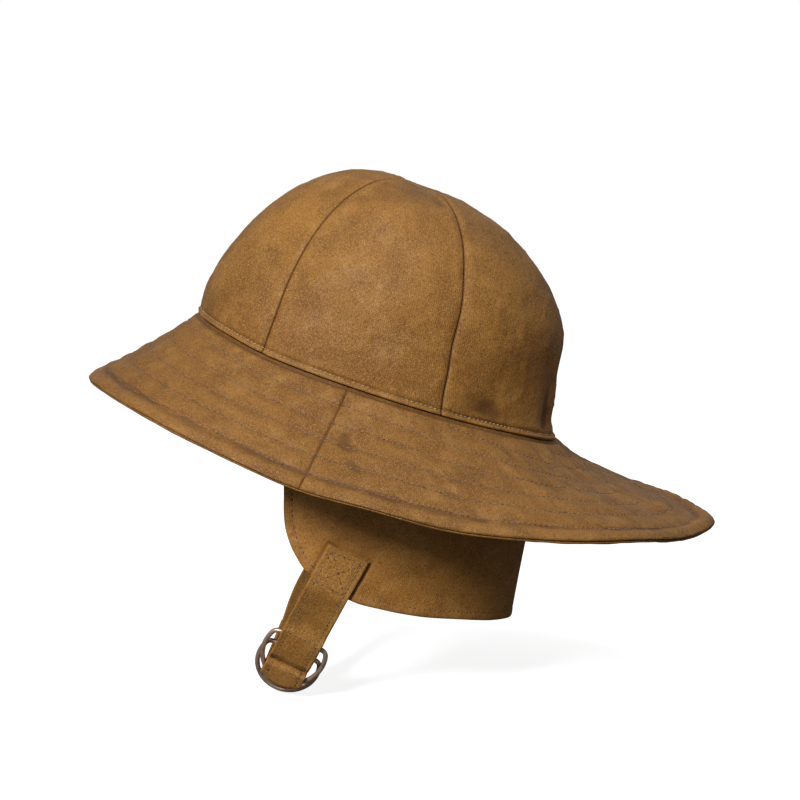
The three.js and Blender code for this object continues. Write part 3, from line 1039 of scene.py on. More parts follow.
@dataclass
class Finishes:
    """The hat's materials, made once."""

    crown: Material = field(init=False)
    brim: Material = field(init=False)
    under: Material = field(init=False)
    flap: Material = field(init=False)
    strap: Material = field(init=False)
    thread: Material = field(init=False)
    pale_thread: Material = field(init=False)
    bronze: Material = field(init=False)

    def __post_init__(self) -> None:
        """Makes every material."""
        weave = waxed_weave()
        self.crown = WaxedCloth("crown cloth").material(weave)
        # The brim's canvas is painted darker than the crown's: painted shade that offsets the light falling
        # on its top
        self.brim = WaxedCloth(
            "brim cloth painted darker",
            base=(0.215, 0.09, 0.013, 1),
            bloom=(0.4, 0.195, 0.046, 1),
            bloom_amount=0.55,
            painted_hollow_shade=0.8,
        ).material(weave)
        self.under = WaxedCloth("under cloth", bloom_amount=0.25, dull=0.72).material(weave)
        # The flap's canvas is painted lighter than the crown's: painted light that lifts it out of the shade
        # under the brim
        self.flap = WaxedCloth(
            "flap cloth painted lighter",
            base=(0.47, 0.2, 0.034, 1),
            dark=(0.19, 0.072, 0.012, 1),
            bloom=(0.55, 0.28, 0.075, 1),
        ).material(weave)
        # The straps' canvas is painted lighter than the crown's: painted light for straps that hang in shade
        self.strap = WaxedCloth(
            "strap cloth painted lighter",
            base=(0.42, 0.18, 0.03, 1),
            bloom=(0.56, 0.3, 0.085, 1),
            blotches=0.3,
        ).material(weave)
        self.thread = WaxedThread().material()
        self.pale_thread = WaxedThread(
            "pale thread", base=(0.46, 0.31, 0.175, 1), dark=(0.2, 0.12, 0.06, 1)
        ).material()
        self.bronze = AgedBronze().material()


@dataclass(frozen=True)
class HeadOpening:
    """The oval edge where crown, brim and flap meet."""

    length: float = 209
    width: float = 173

    def rise(self, turn: np.ndarray) -> np.ndarray:
        """Gives how far the edge rises above its plane at a turn."""
        return self.length * look_up(OPENING_RISE, "turn", np.abs(turn_between(0, turn)), "rise")

    def point(self, turn: np.ndarray) -> np.ndarray:
        """Gives the point of the edge at a turn."""
        angle = np.radians(turn)
        return vectors(self.width / 2 * np.sin(angle), -self.length / 2 * np.cos(angle), self.rise(turn))

    def outward(self, turn: np.ndarray) -> np.ndarray:
        """Gives the level direction straight out from the edge at a turn."""
        angle = np.radians(turn)
        return unit(vectors(np.sin(angle) * 2 / self.width, -np.cos(angle) * 2 / self.length, 0.0))


@dataclass
class Crown:
    """Six gores, sewn together and to a small lip that stands over the brim."""

    opening: HeadOpening
    finishes: Finishes
    height: float = 107
    wall: float = 1.6
    gore_bulge: float = 1.5
    lip_stitch_rise: float = 3
    foot_part: float = 0.2
    tip_part: float = 0.6
    seam_edge: float = 0.25

    # The cloth's relief, in millimetres
    seam_ridges: tuple[Ridge, ...] = (Ridge(-1.2, 0, 0.4), Ridge(-0.25, 0, 2.4), Ridge(0.22, 3.6, 2.2))
    swells: tuple[Lumps, ...] = (Lumps(0.55, 34, 10), Lumps(0.2, 13, 20))
    puckers: Lumps = Lumps(0.32, 4.2, 50)
    pucker_band: Ridge = Ridge(1, 3, 6)
    pucker_stretch: float = 3
    crumple: Lumps = Lumps(1, 21, 30)
    crumple_rise: float = 0.5
    crumple_squash: float = 1.6
    crumple_from: float = 18
    folds_from: float = 9
    lip_wobble: Lumps = Lumps(0.25, 5, 7)
    lip_ridges: tuple[Ridge, ...] = (Ridge(1.25, 0.4, 1.9), Ridge(0.3, 5.4, 1.8))
    lip_groove: Ridge = Ridge(-0.5, 0, 0.8)
    wobble_bands: tuple[Ridge, ...] = (Ridge(1, 0.4, 1.9), Ridge(0.5, 5, 5))
    seam_blend: float = 3
    seam_margin: float = 6
    full_width: float = 14
    back_share: float = -0.3
    arc: np.ndarray = field(init=False)

    def __post_init__(self) -> None:
        """Measures the crown's profile, so that its levels can be found by the distance up the cloth."""
        rows = rows_of(CROWN_LEVELS)
        half_length = self.opening.length / 2
        half_width = self.opening.width / 2
        steps = [
            math.hypot(
                (after["up"] - before["up"]) * self.height,
                (after["side"] - before["side"]) * half_width,
                (after["back"] - before["back"] + after["front"] - before["front"]) / 2 * half_length,
            )
            for before, after in zip(rows, rows[1:])
        ]
        self.arc = running(steps)

    def level(self, arc: np.ndarray) -> dict[str, np.ndarray]:
        """Gives every column of the levels' table at a distance up the cloth, run on below its foot.

        Args:
            arc: The distance.

        Returns:
            The values of each column.
        """
        levels = {name: (2 * values[0] - values[1], *values) for name, values in CROWN_LEVELS.items()}
        levels["arc"] = (-self.arc[1], *self.arc)
        return {column: look_up(levels, "arc", arc, column) for column in CROWN_LEVELS}

    def point(self, level: dict[str, np.ndarray], turn: np.ndarray, bulge: np.ndarray) -> np.ndarray:
        """Gives a point of the crown's outer face.

        Args:
            level: The columns of the levels' table there.
            turn: The turn.
            bulge: 0 on a seam and 1 in the middle of a gore.

        Returns:
            The point.
        """
        up, front, back, side = (level[name] for name in ("up", "front", "back", "side"))
        half_length = self.opening.length / 2
        angle = np.radians(turn)
        body = smooth(up / self.foot_part) * smooth(side / self.tip_part)
        out = self.gore_bulge * bulge * body
        for dent in rows_of(CROWN_DENTS):
            away = turn_between(dent["turn"], turn)
            above = up - dent["up"] - dent["climb"] * away
            depth = self.opening.width / 2 * dent["deep"]
            out = out - depth * body * bump(away, dent["round"]) * bump(above, dent["tall"])
        point = vectors(
            side * self.opening.width / 2 * np.sin(angle),
            (back - front) / 2 * half_length - (front + back) / 2 * half_length * np.cos(angle),
            up * self.height + self.opening.rise(turn) * np.maximum(0, 1 - 3 * up),
        )
        return point + self.opening.outward(turn) * out[..., None]

    def inside_foot(self, turn: np.ndarray, height: np.ndarray) -> np.ndarray:
        """Gives a point just inside the crown's wall near its foot.

        Args:
            turn: The turn.
            height: How far above the opening's plane, in millimetres.

        Returns:
            The point, clear of the wall.
        """
        foot_rows = 6
        foot = {column: values[:foot_rows] for column, values in CROWN_LEVELS.items()}

        def wall_point(up: np.ndarray) -> np.ndarray:
            """Gives a point of the wall's outer face."""
            level = {column: look_up(foot, "up", up, column) for column in ("front", "back", "side")}
            return self.point({"up": up, **level}, turn, np.zeros_like(up))

        up = height / self.height
        step = 0.02
        point = wall_point(up)
        climb = wall_point(up + step) - point
        out = self.opening.outward(turn)
        inward = unit(np.cross(climb, np.cross(out, vectors(0.0, 0.0, 1.0))))
        facing = np.sign(np.sum(inward * out, axis=-1, keepdims=True))
        return point - inward * facing * (self.wall + 2 * GAP)

    def gore_surface(self, start: float | str, end: float | str, mirrored: bool) -> Surface:
        """Gives the outer face of a gore.

        Args:
            start: Turn, or name of the seam, where it starts.
            end: Turn, or name of the seam, where it ends.
            mirrored: Whether the seams are those of the right side.

        Returns:
            The surface, with rows by the distance up the cloth and columns by the share across the gore.
        """
        rows = np.concatenate([np.linspace(0, 6, 13), np.linspace(7.5, self.arc[-1], 110)])
        level = self.level(rows[:, None])
        share = np.linspace(0, 1, 91)[None, :]

        def seam(edge: float | str) -> np.ndarray:
            """Gives the turn of an edge of the gore at each level."""
            if isinstance(edge, str):
                return 360 - level[edge] if mirrored else level[edge]
            return np.full_like(rows[:, None], edge)

        turn = seam(start) * (1 - share) + seam(end) * share
        return Surface(self.point(level, turn, np.sin(math.pi * share)), rows, share[0])

    def build_gore(self, name: str, surface: Surface, thread: Thread, seed: int) -> Piece:
        """Makes a gore with its seam valleys, puckers and turned foot.

        Args:
            name: The node it replaces.
            surface: Its outer face.
            thread: Where its topstitching goes.
            seed: Which unevenness its cloth has.

        Returns:
            The gore.
        """
        foot = (0, 0.2, 0.5, 0.9)
        up = np.concatenate([foot, np.arange(1.4, 6.5, 0.5), np.linspace(7.2, self.arc[-1], 105)])
        ends = np.array((0, 0.003, 0.008, 0.015, 0.024, 0.036, 0.052))
        share = np.concatenate([ends, np.linspace(0.068, 0.932, 66), 1 - ends[::-1]])
        up_grid, share_grid = np.meshgrid(up[::-1], share[::-1], indexing="ij")
        points, _ = surface.at(up_grid, share_grid)
        across = running(np.linalg.norm(np.diff(points, axis=1), axis=-1), 1)
        seam = np.minimum(across, across[:, -1:] - across)
        shared = bump(seam, self.seam_blend)[..., None]
        normals = unit(normals_of(points) * (1 - shared) + self.dome_normal(points) * shared)
        body = smooth(across[:, -1:] / self.full_width)
        relief = self.relief(points, up_grid, seam, body, seed)
        cloth = Cloth(
            middle=points - normals * self.wall / 2,
            normals=normals,
            wall=self.wall,
            flat=vectors(across, up_grid),
            edge=np.minimum(seam + self.seam_edge, up_grid),
            front_relief=relief,
            back_relief=self.back_share * relief,
        )
        front, _ = cloth.faces_of_cloth()
        row = int(np.argmin(np.abs(up[::-1] - self.lip_stitch_rise)))
        thread.sew(front[row], normals[row])
        return cloth.build(name, self.finishes.crown, Slot.CLOTH)

    def relief(
        self, points: np.ndarray, up: np.ndarray, seam: np.ndarray, body: np.ndarray, seed: int
    ) -> np.ndarray:
        """Gives the relief of a gore: its seams, puckers, swells, creases, folds and lip.

        Args:
            points: The gore's points.
            up: Their distances up the cloth.
            seam: Their distances from the nearest seam.
            body: How wide the gore is there, from 0 at its tip to 1.
            seed: Which unevenness its cloth has.

        Returns:
            How far the cloth stands out, in millimetres.
        """
        free = body * smooth(seam / self.seam_margin)
        drawn = vectors(up, seam / self.pucker_stretch, seed)
        puckers = self.puckers.at(drawn, seed) * self.pucker_band.at(seam)
        creases = 1 - np.abs(self.crumple.at(points * (1, 1, self.crumple_squash), seed))
        relief = sum(ridge.at(seam) for ridge in self.seam_ridges) * body
        relief += (puckers + sum(swell.at(points, seed) for swell in self.swells)) * free
        relief += self.crumple_rise * creases**6 * free * smooth(up / self.crumple_from)
        sideways = points[..., 0] / self.opening.width
        turn = np.degrees(np.arctan2(sideways, -points[..., 1] / self.opening.length))
        for fold in rows_of(CROWN_FOLDS):
            near = bump(turn_between(fold["turn"], turn), fold["round"])
            near = near * bump(points[..., 2] / self.height - fold["up"], fold["tall"])
            relief += fold["out"] * near * smooth(up / self.folds_from)
        return relief + self.lip(up, points)

    def dome_normal(self, points: np.ndarray) -> np.ndarray:
        """Gives the direction out of a plain dome, the same for the two gores that meet in a seam."""
        flatter = np.array((self.opening.width, self.opening.length, 2.2 * self.height)) ** -2
        return unit(points * flatter)

    def lip(self, up: np.ndarray, points: np.ndarray) -> np.ndarray:
        """Gives the relief of the turned foot: a small lip, and the groove of its topstitching.

        Args:
            up: Distances up the cloth.
            points: The points there.

        Returns:
            How far the cloth stands out, in millimetres.
        """
        wobble = self.lip_wobble.at(points)
        relief = sum(ridge.at(up) for ridge in self.lip_ridges)
        relief += self.lip_groove.at(up - self.lip_stitch_rise)
        return relief + wobble * sum(band.at(up) for band in self.wobble_bands)

    def build(self) -> list[Piece]:
        """Makes the six gores and the topstitching above the brim.

        Returns:
            The gores and their stitches.
        """
        plan = (
            ("crown_gore_front_left", 0.0, "seam_front", False),
            ("crown_gore_side_left", "seam_front", "seam_back", False),
            ("crown_gore_back_left", "seam_back", 180.0, False),
            ("crown_gore_back_right", 180.0, "seam_back", True),
            ("crown_gore_side_right", "seam_back", "seam_front", True),
            ("crown_gore_front_right", "seam_front", 360.0, True),
        )
        thread = Thread(pitch=2.6, run=1.9, thick=0.74)
        pieces = []
        for seed, (name, start, end, mirrored) in enumerate(plan):
            pieces.append(self.build_gore(name, self.gore_surface(start, end, mirrored), thread, seed))
        pieces.append(thread.build("crown_topstitching", self.finishes.pale_thread, Slot.CLOTH))
        return pieces


class Ply(Enum):
    """The brim's two layers of cloth."""

    TOP = "top"
    UNDER = "under"

    @property
    def ribs_per_degree(self) -> float:
        """How finely the ply is drawn round the crown."""
        return 2.2 if self is Ply.TOP else 1.35

    @property
    def steps_across(self) -> int:
        """How finely the ply is drawn from the crown to its edge."""
        return 80 if self is Ply.TOP else 56


@dataclass
class Brim:
    """A brim in two halves, two plies thick, quilted with rows of stitches that follow its edge."""

    opening: HeadOpening
    finishes: Finishes
    front: float = 69
    side: float = 75
    back: float = 100
    ply: float = 1.2
    seam_turn: float = 85
    bend: float = 0.45
    first_row: float = 11.6
    row_pitch: float = 12.6
    tuck: float = 1.5
    row_starts: tuple[float, ...] = (0, 0, 0, 0, 0, 115, 156)
    under_crown: float = -0.02
    seam_edge: float = 0.2

    # The cloth's relief, in millimetres
    least_relief: float = -0.85
    most_relief: float = 3
    puff: float = 0.42
    least_full: float = 0.75
    puff_reach: float = 5.5
    groove: Ridge = Ridge(-0.3, 0, 0.7)
    drag: Lumps = Lumps(0.3, 5.5, 62)
    drag_band: Ridge = Ridge(1, 2, 3.4)
    waves: Lumps = Lumps(0.28, 9, 63)
    streaks: Lumps = Lumps(0.34, 5, 67)
    streak_stretch: float = 0.3
    fullness: Lumps = Lumps(0.5, 15, 61)
    edge_roll: Ridge = Ridge(0.8, 4.5, 3.2)
    edge_groove: Ridge = Ridge(-0.75, -1.6, 2.2)
    hump_turn: float = 177
    hump_round: float = 12
    hump_ridges: tuple[Ridge, ...] = (Ridge(2.6, 5, 5), Ridge(-1.6, 17, 6))
    crease_end: float = 0.3
    crease_least: float = 0.25
    swells: Lumps = Lumps(0.4, 30, 64)
    seam_ridges: tuple[Ridge, ...] = (Ridge(-0.95, 0, 0.5), Ridge(0.2, 3.5, 2.2))
    seam_puckers: Lumps = Lumps(0.3, 5, 65)
    seam_band: Ridge = Ridge(1, 3, 4)
    gathers: Lumps = Lumps(0.12, 3.3, 66)
    tip_gathers: Lumps = Lumps(0.55, 3.3, 66)
    gather_band: Ridge = Ridge(1, 8, 6.5)
    gather_stretch: float = 0.14
    gather_drift: float = 0.02
    tip_turn: float = 140
    tip_blend: float = 20
    root_part: float = 5
    root_share: float = 0.45
    outer_part: float = 0.55
    plain_relief: float = -0.1
    under_share: float = 0.75
    # A real groove at the crown's foot, which the hollow shading also paints dark: painted shadow under the
    # crown's lip
    root_groove: Ridge = Ridge(-0.9, 1.3, 1.4)
    surface: Surface = field(init=False)

    def __post_init__(self) -> None:
        """Works out the brim's top face, all the way round."""
        turns = np.linspace(-185, 185, 741)
        shares = np.linspace(0, 1, 141)
        away = np.abs(turn_between(0, turns))
        width = self.width(turns)
        root, middle, edge = (
            look_up(BRIM_SLOPES, "turn", away, place)[:, None] for place in ("root", "middle", "edge")
        )
        step = (shares[1:] + shares[:-1]) / 2
        inner = np.clip(step / self.bend, 0, 1) ** 0.8
        outer = np.clip((step - self.bend) / (1 - self.bend), 0, 1) ** 2
        slope = np.radians(root + (middle - root) * inner + (edge - middle) * outer)
        stride = width[:, None] * np.diff(shares)
        out = np.cumsum(np.cos(slope) * stride, axis=1)
        fall = np.cumsum(np.sin(slope) * stride, axis=1)
        zero = np.zeros((len(turns), 1))
        tucked = np.full((len(turns), 1), -self.tuck)
        out = np.concatenate([tucked, zero, out], axis=1)
        fall = np.concatenate([zero, zero, fall], axis=1)
        wave = sum(
            row["lift"] * self.side * bump(turn_between(row["turn"], turns), row["round"])
            for row in rows_of(BRIM_WAVES)
        )
        reach = np.concatenate([[self.under_crown, 0], shares[1:]])
        from_edge = width[:, None] * (1 - np.clip(reach, 0, 1))
        hump = bump(turn_between(self.hump_turn, turns), self.hump_round)[:, None]
        lift = wave[:, None] * np.clip(reach, 0, 1) ** 2
        lift = lift + hump * sum(ridge.at(from_edge) for ridge in self.hump_ridges)
        points = self.opening.point(turns)[:, None] + self.opening.outward(turns)[:, None] * out[..., None]
        points = points + vectors(0.0, 0.0, lift - fall - GAP)
        self.surface = Surface(points, turns, reach)

    @property
    def per_degree(self) -> float:
        """Millimetres of cloth to a degree, round the middle of the brim."""
        return self.opening.length / 110

    def width(self, turn: np.ndarray) -> np.ndarray:
        """Gives the brim's width along the cloth.

        Args:
            turn: The turn.

        Returns:
            The width, in millimetres.
        """
        away = np.abs(turn_between(0, turn))
        ahead = self.front + (self.side - self.front) * smooth(away / 90)
        behind = self.side + (self.back - self.side) * smooth((away - 90) / 90)
        return np.where(away < 90, ahead, behind)

    def quilting(
        self, turn: np.ndarray, from_edge: np.ndarray, width: np.ndarray, points: np.ndarray
    ) -> np.ndarray:
        """Gives the relief that the rows of stitches make.

        Args:
            turn: The turns.
            from_edge: Distances from the brim's edge.
            width: The brim's width there.
            points: The points.

        Returns:
            How far the cloth stands out, in millimetres.
        """
        away = np.abs(turn_between(0, turn))
        far = 1e3
        nearest = np.full_like(from_edge, far)
        for row, start in enumerate(self.row_starts):
            line = self.first_row + row * self.row_pitch
            nearest = np.minimum(nearest, np.abs(from_edge - line) + far * (away < start))
        nearest = np.minimum(nearest, np.abs(width - from_edge) + 1.5)
        nearest = np.minimum(nearest, from_edge + 2)
        puff = smooth(nearest / self.puff_reach)
        radial = vectors(turn * self.per_degree, from_edge * self.streak_stretch, 0.0)
        full = self.puff * (self.least_full + self.fullness.at(points))
        relief = (full + self.waves.at(points) + self.streaks.at(radial)) * puff
        relief += self.groove.at(nearest) + self.drag.at(points) * self.drag_band.at(nearest)
        return relief + self.edge_roll.at(from_edge) + self.edge_groove.at(from_edge - self.first_row)

    def creases(self, turn: np.ndarray, from_edge: np.ndarray, width: np.ndarray) -> np.ndarray:
        """Gives the relief of the long soft creases across the rows.

        Args:
            turn: The turns.
            from_edge: Distances from the brim's edge.
            width: The brim's width there.

        Returns:
            How far the cloth stands out, in millimetres.
        """
        reach = width - from_edge
        total = np.zeros_like(reach)
        for crease in rows_of(BRIM_CREASES):
            start = vectors(0.0, crease["share"] * width)
            run = (crease["to_turn"] - crease["turn"]) * self.per_degree
            along = vectors(run, crease["to_share"] * width) - start
            here = vectors(turn_between(crease["turn"], turn) * self.per_degree, reach) - start
            share = np.clip(np.sum(here * along, axis=-1) / np.sum(along**2, axis=-1), 0, 1)
            away = np.linalg.norm(here - along * share[..., None], axis=-1)
            fade = smooth(share / self.crease_end) * smooth((1 - share) / self.crease_end)
            strength = self.crease_least + (1 - self.crease_least) * fade
            total += crease["lift"] * bump(away, crease["wide"]) * strength
        return total

    def ribs(self, start: float, end: float, ply: Ply) -> np.ndarray:
        """Gives the turns of a ply's ribs, closer together at its seams.

        Args:
            start: The turn of its first seam.
            end: The turn of its last seam.
            ply: Which of the two plies it is.

        Returns:
            The turns.
        """
        span = end - start
        ends = (0.0006, 0.0018, 0.0036, 0.006, 0.009)
        return start + marks(1.0, 1 / (span * ply.ribs_per_degree), ends) * span

    def reaches(self, ply: Ply) -> np.ndarray:
        """Gives the shares of the width at which a ply has points, from under the crown to the edge."""
        ends = (0.0015, 0.0045, 0.009, 0.016, 0.024)
        return np.concatenate([[self.under_crown], marks(1.0, 1 / ply.steps_across, ends)])

    def build_ply(self, name: str, turns: np.ndarray, ply: Ply) -> Cloth:
        """Lays out one ply of half the brim.

        Args:
            name: The piece's name.
            turns: The turns of its ribs, from seam to seam.
            ply: Which of the two plies it is.

        Returns:
            The cloth.
        """
        turn, share = np.meshgrid(turns, self.reaches(ply), indexing="ij")
        points, normals = self.surface.at(turn_between(0, turn), share)
        width = self.width(turn)
        from_edge = width * (1 - share)
        length = lengths_along(points[:, share[0] > self.outer_part], 0)[:, None]
        narrowed = self.root_share + (1 - self.root_share) * share
        to_seam = np.minimum(length, length[-1] - length) * narrowed
        relief = self.quilting(turn, from_edge, width, points) + self.creases(turn, from_edge, width)
        relief += self.swells.at(points) + sum(ridge.at(to_seam) for ridge in self.seam_ridges)
        relief += self.seam_puckers.at(points) * self.seam_band.at(to_seam)
        tip = smooth((np.abs(turn_between(0, turn)) - self.tip_turn) / self.tip_blend)
        radial = vectors(length, from_edge * self.gather_stretch, length * self.gather_drift)
        gathers = self.gathers.at(radial) + self.tip_gathers.at(radial) * tip
        relief += gathers * self.gather_band.at(from_edge)
        from_root = width * share
        root = smooth(from_root / self.root_part)
        relief = relief * root + self.root_groove.at(from_root)
        normals = unit(normals * root[..., None] + vectors(0.0, 0.0, 1.0) * (1 - root)[..., None])
        relief = np.clip(relief, self.least_relief, self.most_relief)
        plain = np.full_like(relief, self.plain_relief)
        top = ply is Ply.TOP
        log.info("%s: %d ribs", name, len(turns))
        return Cloth(
            middle=points - normals * (self.ply / 2 if top else self.ply * 1.5 + GAP),
            normals=normals,
            wall=self.ply,
            flat=vectors(length, from_root),
            edge=np.minimum(from_edge, to_seam + self.seam_edge),
            front_relief=relief if top else plain,
            back_relief=plain if top else self.under_share * relief,
        )

    def sew_rows(self, thread: Thread, turns: np.ndarray, ply: Ply, cloth: Cloth) -> None:
        """Sews the rows of stitches on the outer face of one ply of half the brim.

        Args:
            thread: The thread.
            turns: The turns of the ply's ribs.
            ply: Which of the two plies it is.
            cloth: The ply.
        """
        index = np.arange(len(turns), dtype=float)
        front, back = cloth.faces_of_cloth()
        top = ply is Ply.TOP
        face = Surface(front if top else back, index, self.reaches(ply))
        away = np.abs(turn_between(0, turns))
        for row, start in enumerate(self.row_starts):
            sewn = away >= start
            if not sewn.any():
                continue
            share = 1 - self.row_line(row, turns) / self.width(turns)
            points, normals = face.at(index[sewn], share[sewn])
            thread.sew(points, normals if top else -normals)

    def row_line(self, row: int, turns: np.ndarray) -> np.ndarray:
        """Gives how far a row of stitches lies from the brim's edge, with a hand's small wobble.

        Args:
            row: The row, counted from the edge.
            turns: The turns.

        Returns:
            The distances, in millimetres.
        """
        slow = 0.35 * np.sin(np.radians(turns * 7 + row * 50))
        quick = 0.3 * np.sin(np.radians(turns * 17 + row * 110))
        return self.first_row + row * self.row_pitch + slow + quick

    def build(self) -> list[Piece]:
        """Makes both plies of both halves and all the rows of stitches.

        Returns:
            The plies and their stitches.
        """
        pieces = []
        thread = Thread(thick=0.6)
        for half, start, end in (
            ("brim_front", -self.seam_turn, self.seam_turn),
            ("brim_back", self.seam_turn, 360 - self.seam_turn),
        ):
            for ply in Ply:
                name = f"{half}_{ply.value}"
                turns = self.ribs(start, end, ply)
                cloth = self.build_ply(name, turns, ply)
                finish = self.finishes.brim if ply is Ply.TOP else self.finishes.under
                slot = Slot.CLOTH if ply is Ply.TOP else Slot.UNDER
                pieces.append(cloth.build(name, finish, slot))
                self.sew_rows(thread, turns, ply, cloth)
        pieces.append(thread.build("brim_stitching", self.finishes.thread, Slot.CLOTH))
        return pieces


@dataclass
class NeckFlap:
    """The flap that hangs inside the brim over the ears and the neck, with a turned and topstitched hem."""

    opening: HeadOpening
    crown: Crown
    finishes: Finishes
    drop: float = 110
    wall: float = 2
    tuck: float = 7
    flare: float = 14
    hem: float = 4.6
    per_degree: float = 1.66
    lap_per_degree: float = 1.62

    # The cloth's relief, in millimetres
    # The flap is pressed in round the strap's lap, and the hollow shading paints this groove dark: painted
    # shadow of the strap
    press: float = 0.8
    press_line: Ridge = Ridge(1, 0.3, 1.1)
    swells: Lumps = Lumps(0.5, 28, 71)
    ripples: Lumps = Lumps(0.2, 11, 72)
    puckers: Lumps = Lumps(0.22, 4.5, 73)
    pucker_band: Ridge = Ridge(1, 3, 4)
    folds_to: float = 90
    swells_to: float = 20
    top_part: float = 3
    hem_ridge: Ridge = Ridge(0.35, 2.2, 2.2)
    hem_groove: Ridge = Ridge(-0.4, 0, 0.9)

    def depth(self, turn: np.ndarray) -> np.ndarray:
        """Gives how deep the flap hangs at a turn."""
        return self.drop * look_up(FLAP_EDGE, "turn", np.abs(turn_between(0, turn)), "depth")

    def point(self, turn: np.ndarray, height: np.ndarray) -> np.ndarray:
        """Gives a point of the flap's outer face.

        Args:
            turn: The turn.
            height: Its height above the opening's plane, below 0 for most of the flap.

        Returns:
            The point.
        """
        turn, height = np.broadcast_arrays(turn, height)
        depth = np.maximum(0, -height) / self.drop
        swing = self.flare * look_up(FLAP_EDGE, "turn", np.abs(turn_between(0, turn)), "swing") * depth**1.3
        out = swing - self.crown.wall - GAP
        hanging = self.opening.point(turn) + self.opening.outward(turn) * out[..., None]
        hanging = hanging + vectors(0.0, 0.0, height)
        tucked = self.crown.inside_foot(turn, np.maximum(height, 0))
        return np.where((height > 0)[..., None], tucked, hanging)

    def pressed(self, turn: np.ndarray, height: np.ndarray) -> np.ndarray:
        """Gives how close a place is to the outline of the strap's lap.

        Args:
            turn: The turn.
            height: The height above the opening's plane.

        Returns:
            The closeness, from 0 to 1.
        """
        away = (np.abs(turn_between(0, turn)) - LAP_TURN) * self.lap_per_degree
        below = -height - LAP_START
        slant = math.radians(LAP_SLANT)
        down = below * math.cos(slant) - away * math.sin(slant)
        across = away * math.cos(slant) + below * math.sin(slant)
        over = np.maximum(np.abs(across) - STRAP_WIDTH / 2, -down)
        return self.press_line.at(over) * smooth(1 + over)

    def outline(self) -> np.ndarray:
        """Gives the flap's free edge, from one front corner round to the other.

        Returns:
            Its points, each a turn and a height.
        """
        first = FLAP_EDGE["turn"][0]
        lower = np.linspace(first, 360 - first, 400)
        down = np.linspace(0, -self.depth(np.array(first)), 20)[:-1]
        hem = vectors(lower, -self.depth(lower))
        return np.concatenate([vectors(first, down), hem, vectors(360 - first, down[::-1])])

    def hem_distance(self, turn: np.ndarray, height: np.ndarray) -> np.ndarray:
        """Gives how far points of the flap are from its free edge.

        Args:
            turn: Their turns.
            height: Their heights above the opening's plane.

        Returns:
            The distances, in millimetres.
        """
        line = self.outline() * (self.per_degree, 1)
        here = vectors(turn * self.per_degree, height)
        best = np.full(turn.shape, 1e3)
        for start, end in zip(line, line[1:]):
            along = end - start
            share = np.clip(((here - start) @ along) / max(along @ along, 1e-9), 0, 1)
            best = np.minimum(best, np.linalg.norm(here - start - share[..., None] * along, axis=-1))
        return best

    def relief(
        self, turn: np.ndarray, height: np.ndarray, points: np.ndarray, hem: np.ndarray
    ) -> np.ndarray:
        """Gives the flap's relief: its soft folds, its hem and its puckers.

        Args:
            turn: The turns.
            height: The heights above the opening's plane.
            points: The points.
            hem: Their distances from the free edge.

        Returns:
            How far the cloth stands out, in millimetres.
        """
        low = smooth(-height / self.folds_to)
        total = self.swells.at(points) * smooth(-height / self.swells_to) + self.ripples.at(points)
        for fold in rows_of(FLAP_FOLDS):
            total = total + fold["out"] * low * bump(turn_between(fold["turn"], turn), fold["round"])
        puckers = self.puckers.at(points) * self.pucker_band.at(hem)
        seam = self.hem_ridge.at(hem) + self.hem_groove.at(hem - self.hem)
        return total * smooth(1 + height / self.top_part) + seam + puckers

    def build(self) -> list[Piece]:
        """Makes the flap and its topstitching.

        Returns:
            The flap and its stitches.
        """
        first = FLAP_EDGE["turn"][0]
        half = np.linspace(-1, 1, 261)
        turns = 180 + np.sign(half) * (180 - first) * (1 - (1 - np.abs(half)) ** 1.35)
        tucked = (-0.065, -0.04, -0.02)
        rows = np.concatenate([tucked, marks(1.0, 1 / 60, (0.001, 0.003, 0.006, 0.01, 0.016))])
        turn, share = np.meshgrid(turns[::-1], rows, indexing="xy")
        depth = self.depth(turn)
        height = np.where(share < 0, share * self.tuck / tucked[0], -share * depth)
        points = self.point(turn, height)
        normals = normals_of(points)
        hem = self.hem_distance(turn, height)
        relief = self.relief(turn, height, points, hem)
        across = running(np.linalg.norm(np.diff(points[30], axis=0), axis=1))
        cloth = Cloth(
            middle=points - normals * self.wall / 2 + normals * relief[..., None],
            normals=normals,
            wall=self.wall,
            flat=vectors(across, height),
            edge=hem,
            front_relief=-self.press * self.pressed(turn, height),
            back_relief=np.zeros_like(relief),
        )
        piece = cloth.build("neck_flap", self.finishes.flap, Slot.CLOTH)
        return [piece, self.sew_hem()]

    def sew_hem(self) -> Piece:
        """Sews the hem's topstitching on both faces.

        Returns:
            The stitches.
        """
        scale = (self.per_degree, 1)
        line = self.outline() * scale
        along = unit(np.gradient(line, axis=0))
        stitched = (line + vectors(-along[:, 1], along[:, 0]) * self.hem) / scale
        slack = 0.4
        top = -2
        inside = self.hem_distance(stitched[:, 0], stitched[:, 1]) > self.hem - slack
        turn, height = stitched[inside & (stitched[:, 1] < top)].T
        base = self.point(turn, height)
        step = 0.5
        ahead = self.point(turn - step, height) - base
        out = unit(np.cross(ahead, self.point(turn, height - step) - base))
        relief = self.relief(turn, height, base, np.full(len(turn), self.hem))
        face = base + out * relief[:, None]
        thread = Thread()
        thread.sew(face, out)
        thread.sew(face - out * self.wall, -out)
        return thread.build("neck_flap_topstitching", self.finishes.thread, Slot.CLOTH)


class Side(Enum):
    """The wearer's two sides."""

    LEFT = 1
    RIGHT = -1


